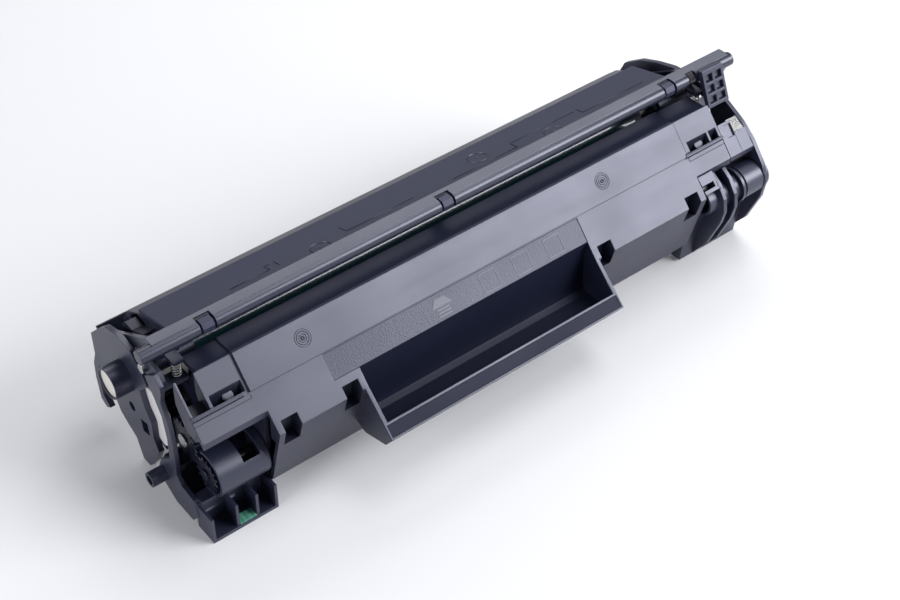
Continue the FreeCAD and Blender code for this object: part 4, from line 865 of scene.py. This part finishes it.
class CARTRIDGE_OT_marks(bpy.types.Operator):
    """Adds the moulding marks and raised lines of the upper face and the top plate"""

    bl_idname = "cartridge.marks"
    bl_label = "Moulding Marks"

    def execute(self, context):
        shape = bmesh.new()
        for along, y in FACE_MARKS:
            spot = on_face(along * MM, y * MM, raised=True)
            for radius, thick in FACE_RINGS:
                ring_into(shape, radius * MM, thick * MM, facing(FACE_NORMAL, spot))
        smooth_faces(shape)
        node = "hopper_cover"
        add_piece("face_ring_marks", shape, "shell", body_of(node))
        lid = bmesh.new()
        for along, y in LID_MARKS:
            placement = facing(LID_NORMAL, on_lid(along * MM, y * MM))
            ring_into(lid, sizes().mark_radius, LID_RING * MM, placement, steps=RING_STEPS)
            ring_into(lid, LID_DOT * MM, LID_RING * MM, placement, steps=DOT_STEPS)
        for line in LID_LINES:
            places = [on_lid(along * MM, y * MM) for along, y in line]
            for first, second in zip(places, places[1:]):
                line_into(lid, first, second, LID_NORMAL, LINE_WIDTH * MM, LINE_RISE * MM)
        smooth_faces(lid)
        node = "waste_bin_lid"
        add_piece("top_plate_marks", lid, "bar", body_of(node))
        return {"FINISHED"}


# Studio

CAMERA_PLACE = (-0.33684, -0.41553, 0.52935)
CAMERA_TURN = (math.radians(90 - 43.04), 0.0, math.radians(-38.44))
CAMERA_LENS = 69.6
SENSOR_WIDTH = 36.0
NEAREST = 0.01
FLOOR_HALF = 4.0
FLOOR_GLOW = 0.07
GLOW_COLOUR = (0.90, 0.91, 1.0, 1.0)
SKY_COLOUR = (0.92, 0.94, 1.0, 1.0)
SKY_STRENGTH = 0.14

# Soft white lamps: name, place, target, width and height, power
LAMPS = (
    ("key_lamp", (0.88, -0.94, 0.76), (0.05, 0, 0.05), (1.0, 0.75), 25.0),
    ("back_lamp", (0.50, 0.80, 0.90), (0, 0, 0.07), (1.1, 0.6), 7.0),
    ("top_lamp", (0.45, -0.08, 1.15), (0, 0, 0.05), (0.7, 0.5), 5.0),
    ("left_lamp", (-1.2, -0.1, 0.5), (-0.14, 0, 0.04), (0.7, 0.6), 7.5),
)


def floor_material():
    """Pale floor that keeps the shadow and is a little lighter to the camera and in gloss."""
    tree, shader = start_material("studio_floor")
    shader.inputs["Base Color"].default_value = (*colours().floor, 1.0)
    shader.inputs["Roughness"].default_value = 0.9
    shader.inputs["Specular IOR Level"].default_value = 0.1
    path = tree.nodes.new("ShaderNodeLightPath")
    seen = math_node(tree, "MAXIMUM", path.outputs["Is Camera Ray"], path.outputs["Is Glossy Ray"])
    seen = math_node(tree, "MAXIMUM", seen, path.outputs["Is Transmission Ray"])
    glow = tree.nodes.new("ShaderNodeEmission")
    glow.inputs["Color"].default_value = GLOW_COLOUR
    tree.links.new(math_node(tree, "MULTIPLY", seen, FLOOR_GLOW), glow.inputs["Strength"])
    both = tree.nodes.new("ShaderNodeAddShader")
    tree.links.new(shader.outputs["BSDF"], both.inputs[0])
    tree.links.new(glow.outputs["Emission"], both.inputs[1])
    output = next(node for node in tree.nodes if node.type == "OUTPUT_MATERIAL")
    tree.links.new(both.outputs["Shader"], output.inputs["Surface"])
    return MATERIALS["studio_floor"]


def soft_lamp(name, place, target, size, power):
    """An area lamp at a place, turned to its target."""
    lamp = bpy.data.lights.new(name, "AREA")
    lamp.shape = "RECTANGLE"
    lamp.size, lamp.size_y = size
    lamp.energy = power
    holder = bpy.data.objects.new(name, lamp)
    holder.location = place
    aim = Vector(target) - Vector(place)
    holder.rotation_euler = aim.to_track_quat("-Z", "Y").to_euler()
    bpy.context.scene.collection.objects.link(holder)


class CARTRIDGE_OT_stage(bpy.types.Operator):
    """Sets the floor, the soft lamps, the world and the camera"""

    bl_idname = "cartridge.stage"
    bl_label = "Studio"

    def execute(self, context):
        scene = context.scene
        shape = bmesh.new()
        bmesh.ops.create_grid(shape, x_segments=1, y_segments=1, size=FLOOR_HALF)
        mesh = bpy.data.meshes.new("studio_floor")
        shape.to_mesh(mesh)
        shape.free()
        floor = bpy.data.objects.new("studio_floor", mesh)
        scene.collection.objects.link(floor)
        mesh.materials.append(floor_material())
        world = bpy.data.worlds.new("studio")
        world.use_nodes = True
        sky = world.node_tree.nodes["Background"]
        sky.inputs["Color"].default_value = SKY_COLOUR
        sky.inputs["Strength"].default_value = SKY_STRENGTH
        scene.world = world
        for lamp in LAMPS:
            soft_lamp(*lamp)
        camera_data = bpy.data.cameras.new("photo_view")
        camera_data.lens = CAMERA_LENS
        camera_data.sensor_width = SENSOR_WIDTH
        camera_data.clip_start = NEAREST
        camera = bpy.data.objects.new("photo_view", camera_data)
        camera.location = CAMERA_PLACE
        camera.rotation_euler = CAMERA_TURN
        scene.collection.objects.link(camera)
        scene.camera = camera
        scene.view_settings.view_transform = "Standard"
        return {"FINISHED"}


class CARTRIDGE_PT_panel(bpy.types.Panel):
    """Lists the sizes, colours and steps"""

    bl_idname = "CARTRIDGE_PT_panel"
    bl_label = "Toner Cartridge"
    bl_space_type = "VIEW_3D"
    bl_region_type = "UI"
    bl_category = "Cartridge"

    def draw(self, context):
        layout = self.layout
        for settings in (sizes(), colours()):
            for name in settings.bl_rna.properties.keys():
                if name not in ("rna_type", "name"):
                    layout.prop(settings, name)
        for operator in OPERATORS:
            layout.operator(operator.bl_idname)


OPERATORS = (
    CARTRIDGE_OT_shell,
    CARTRIDGE_OT_gears,
    CARTRIDGE_OT_metal,
    CARTRIDGE_OT_soft,
    CARTRIDGE_OT_springs,
    CARTRIDGE_OT_panel,
    CARTRIDGE_OT_marks,
    CARTRIDGE_OT_stage,
)
CLASSES = (CartridgeSizes, CartridgeColours) + OPERATORS + (CARTRIDGE_PT_panel,)


def register():
    """Registers the classes and the two groups of settings."""
    for item in CLASSES:
        bpy.utils.register_class(item)
    bpy.types.Scene.cartridge_sizes = bpy.props.PointerProperty(type=CartridgeSizes)
    bpy.types.Scene.cartridge_colours = bpy.props.PointerProperty(type=CartridgeColours)


def unregister():
    """Takes the settings and the classes away again."""
    del bpy.types.Scene.cartridge_sizes
    del bpy.types.Scene.cartridge_colours
    for item in reversed(CLASSES):
        bpy.utils.unregister_class(item)


def main():
    """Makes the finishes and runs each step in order."""
    register()
    make_finishes()
    for operator in OPERATORS:
        group, name = operator.bl_idname.split(".")
        getattr(getattr(bpy.ops, group), name)()


if __name__ == "__main__":
    main()
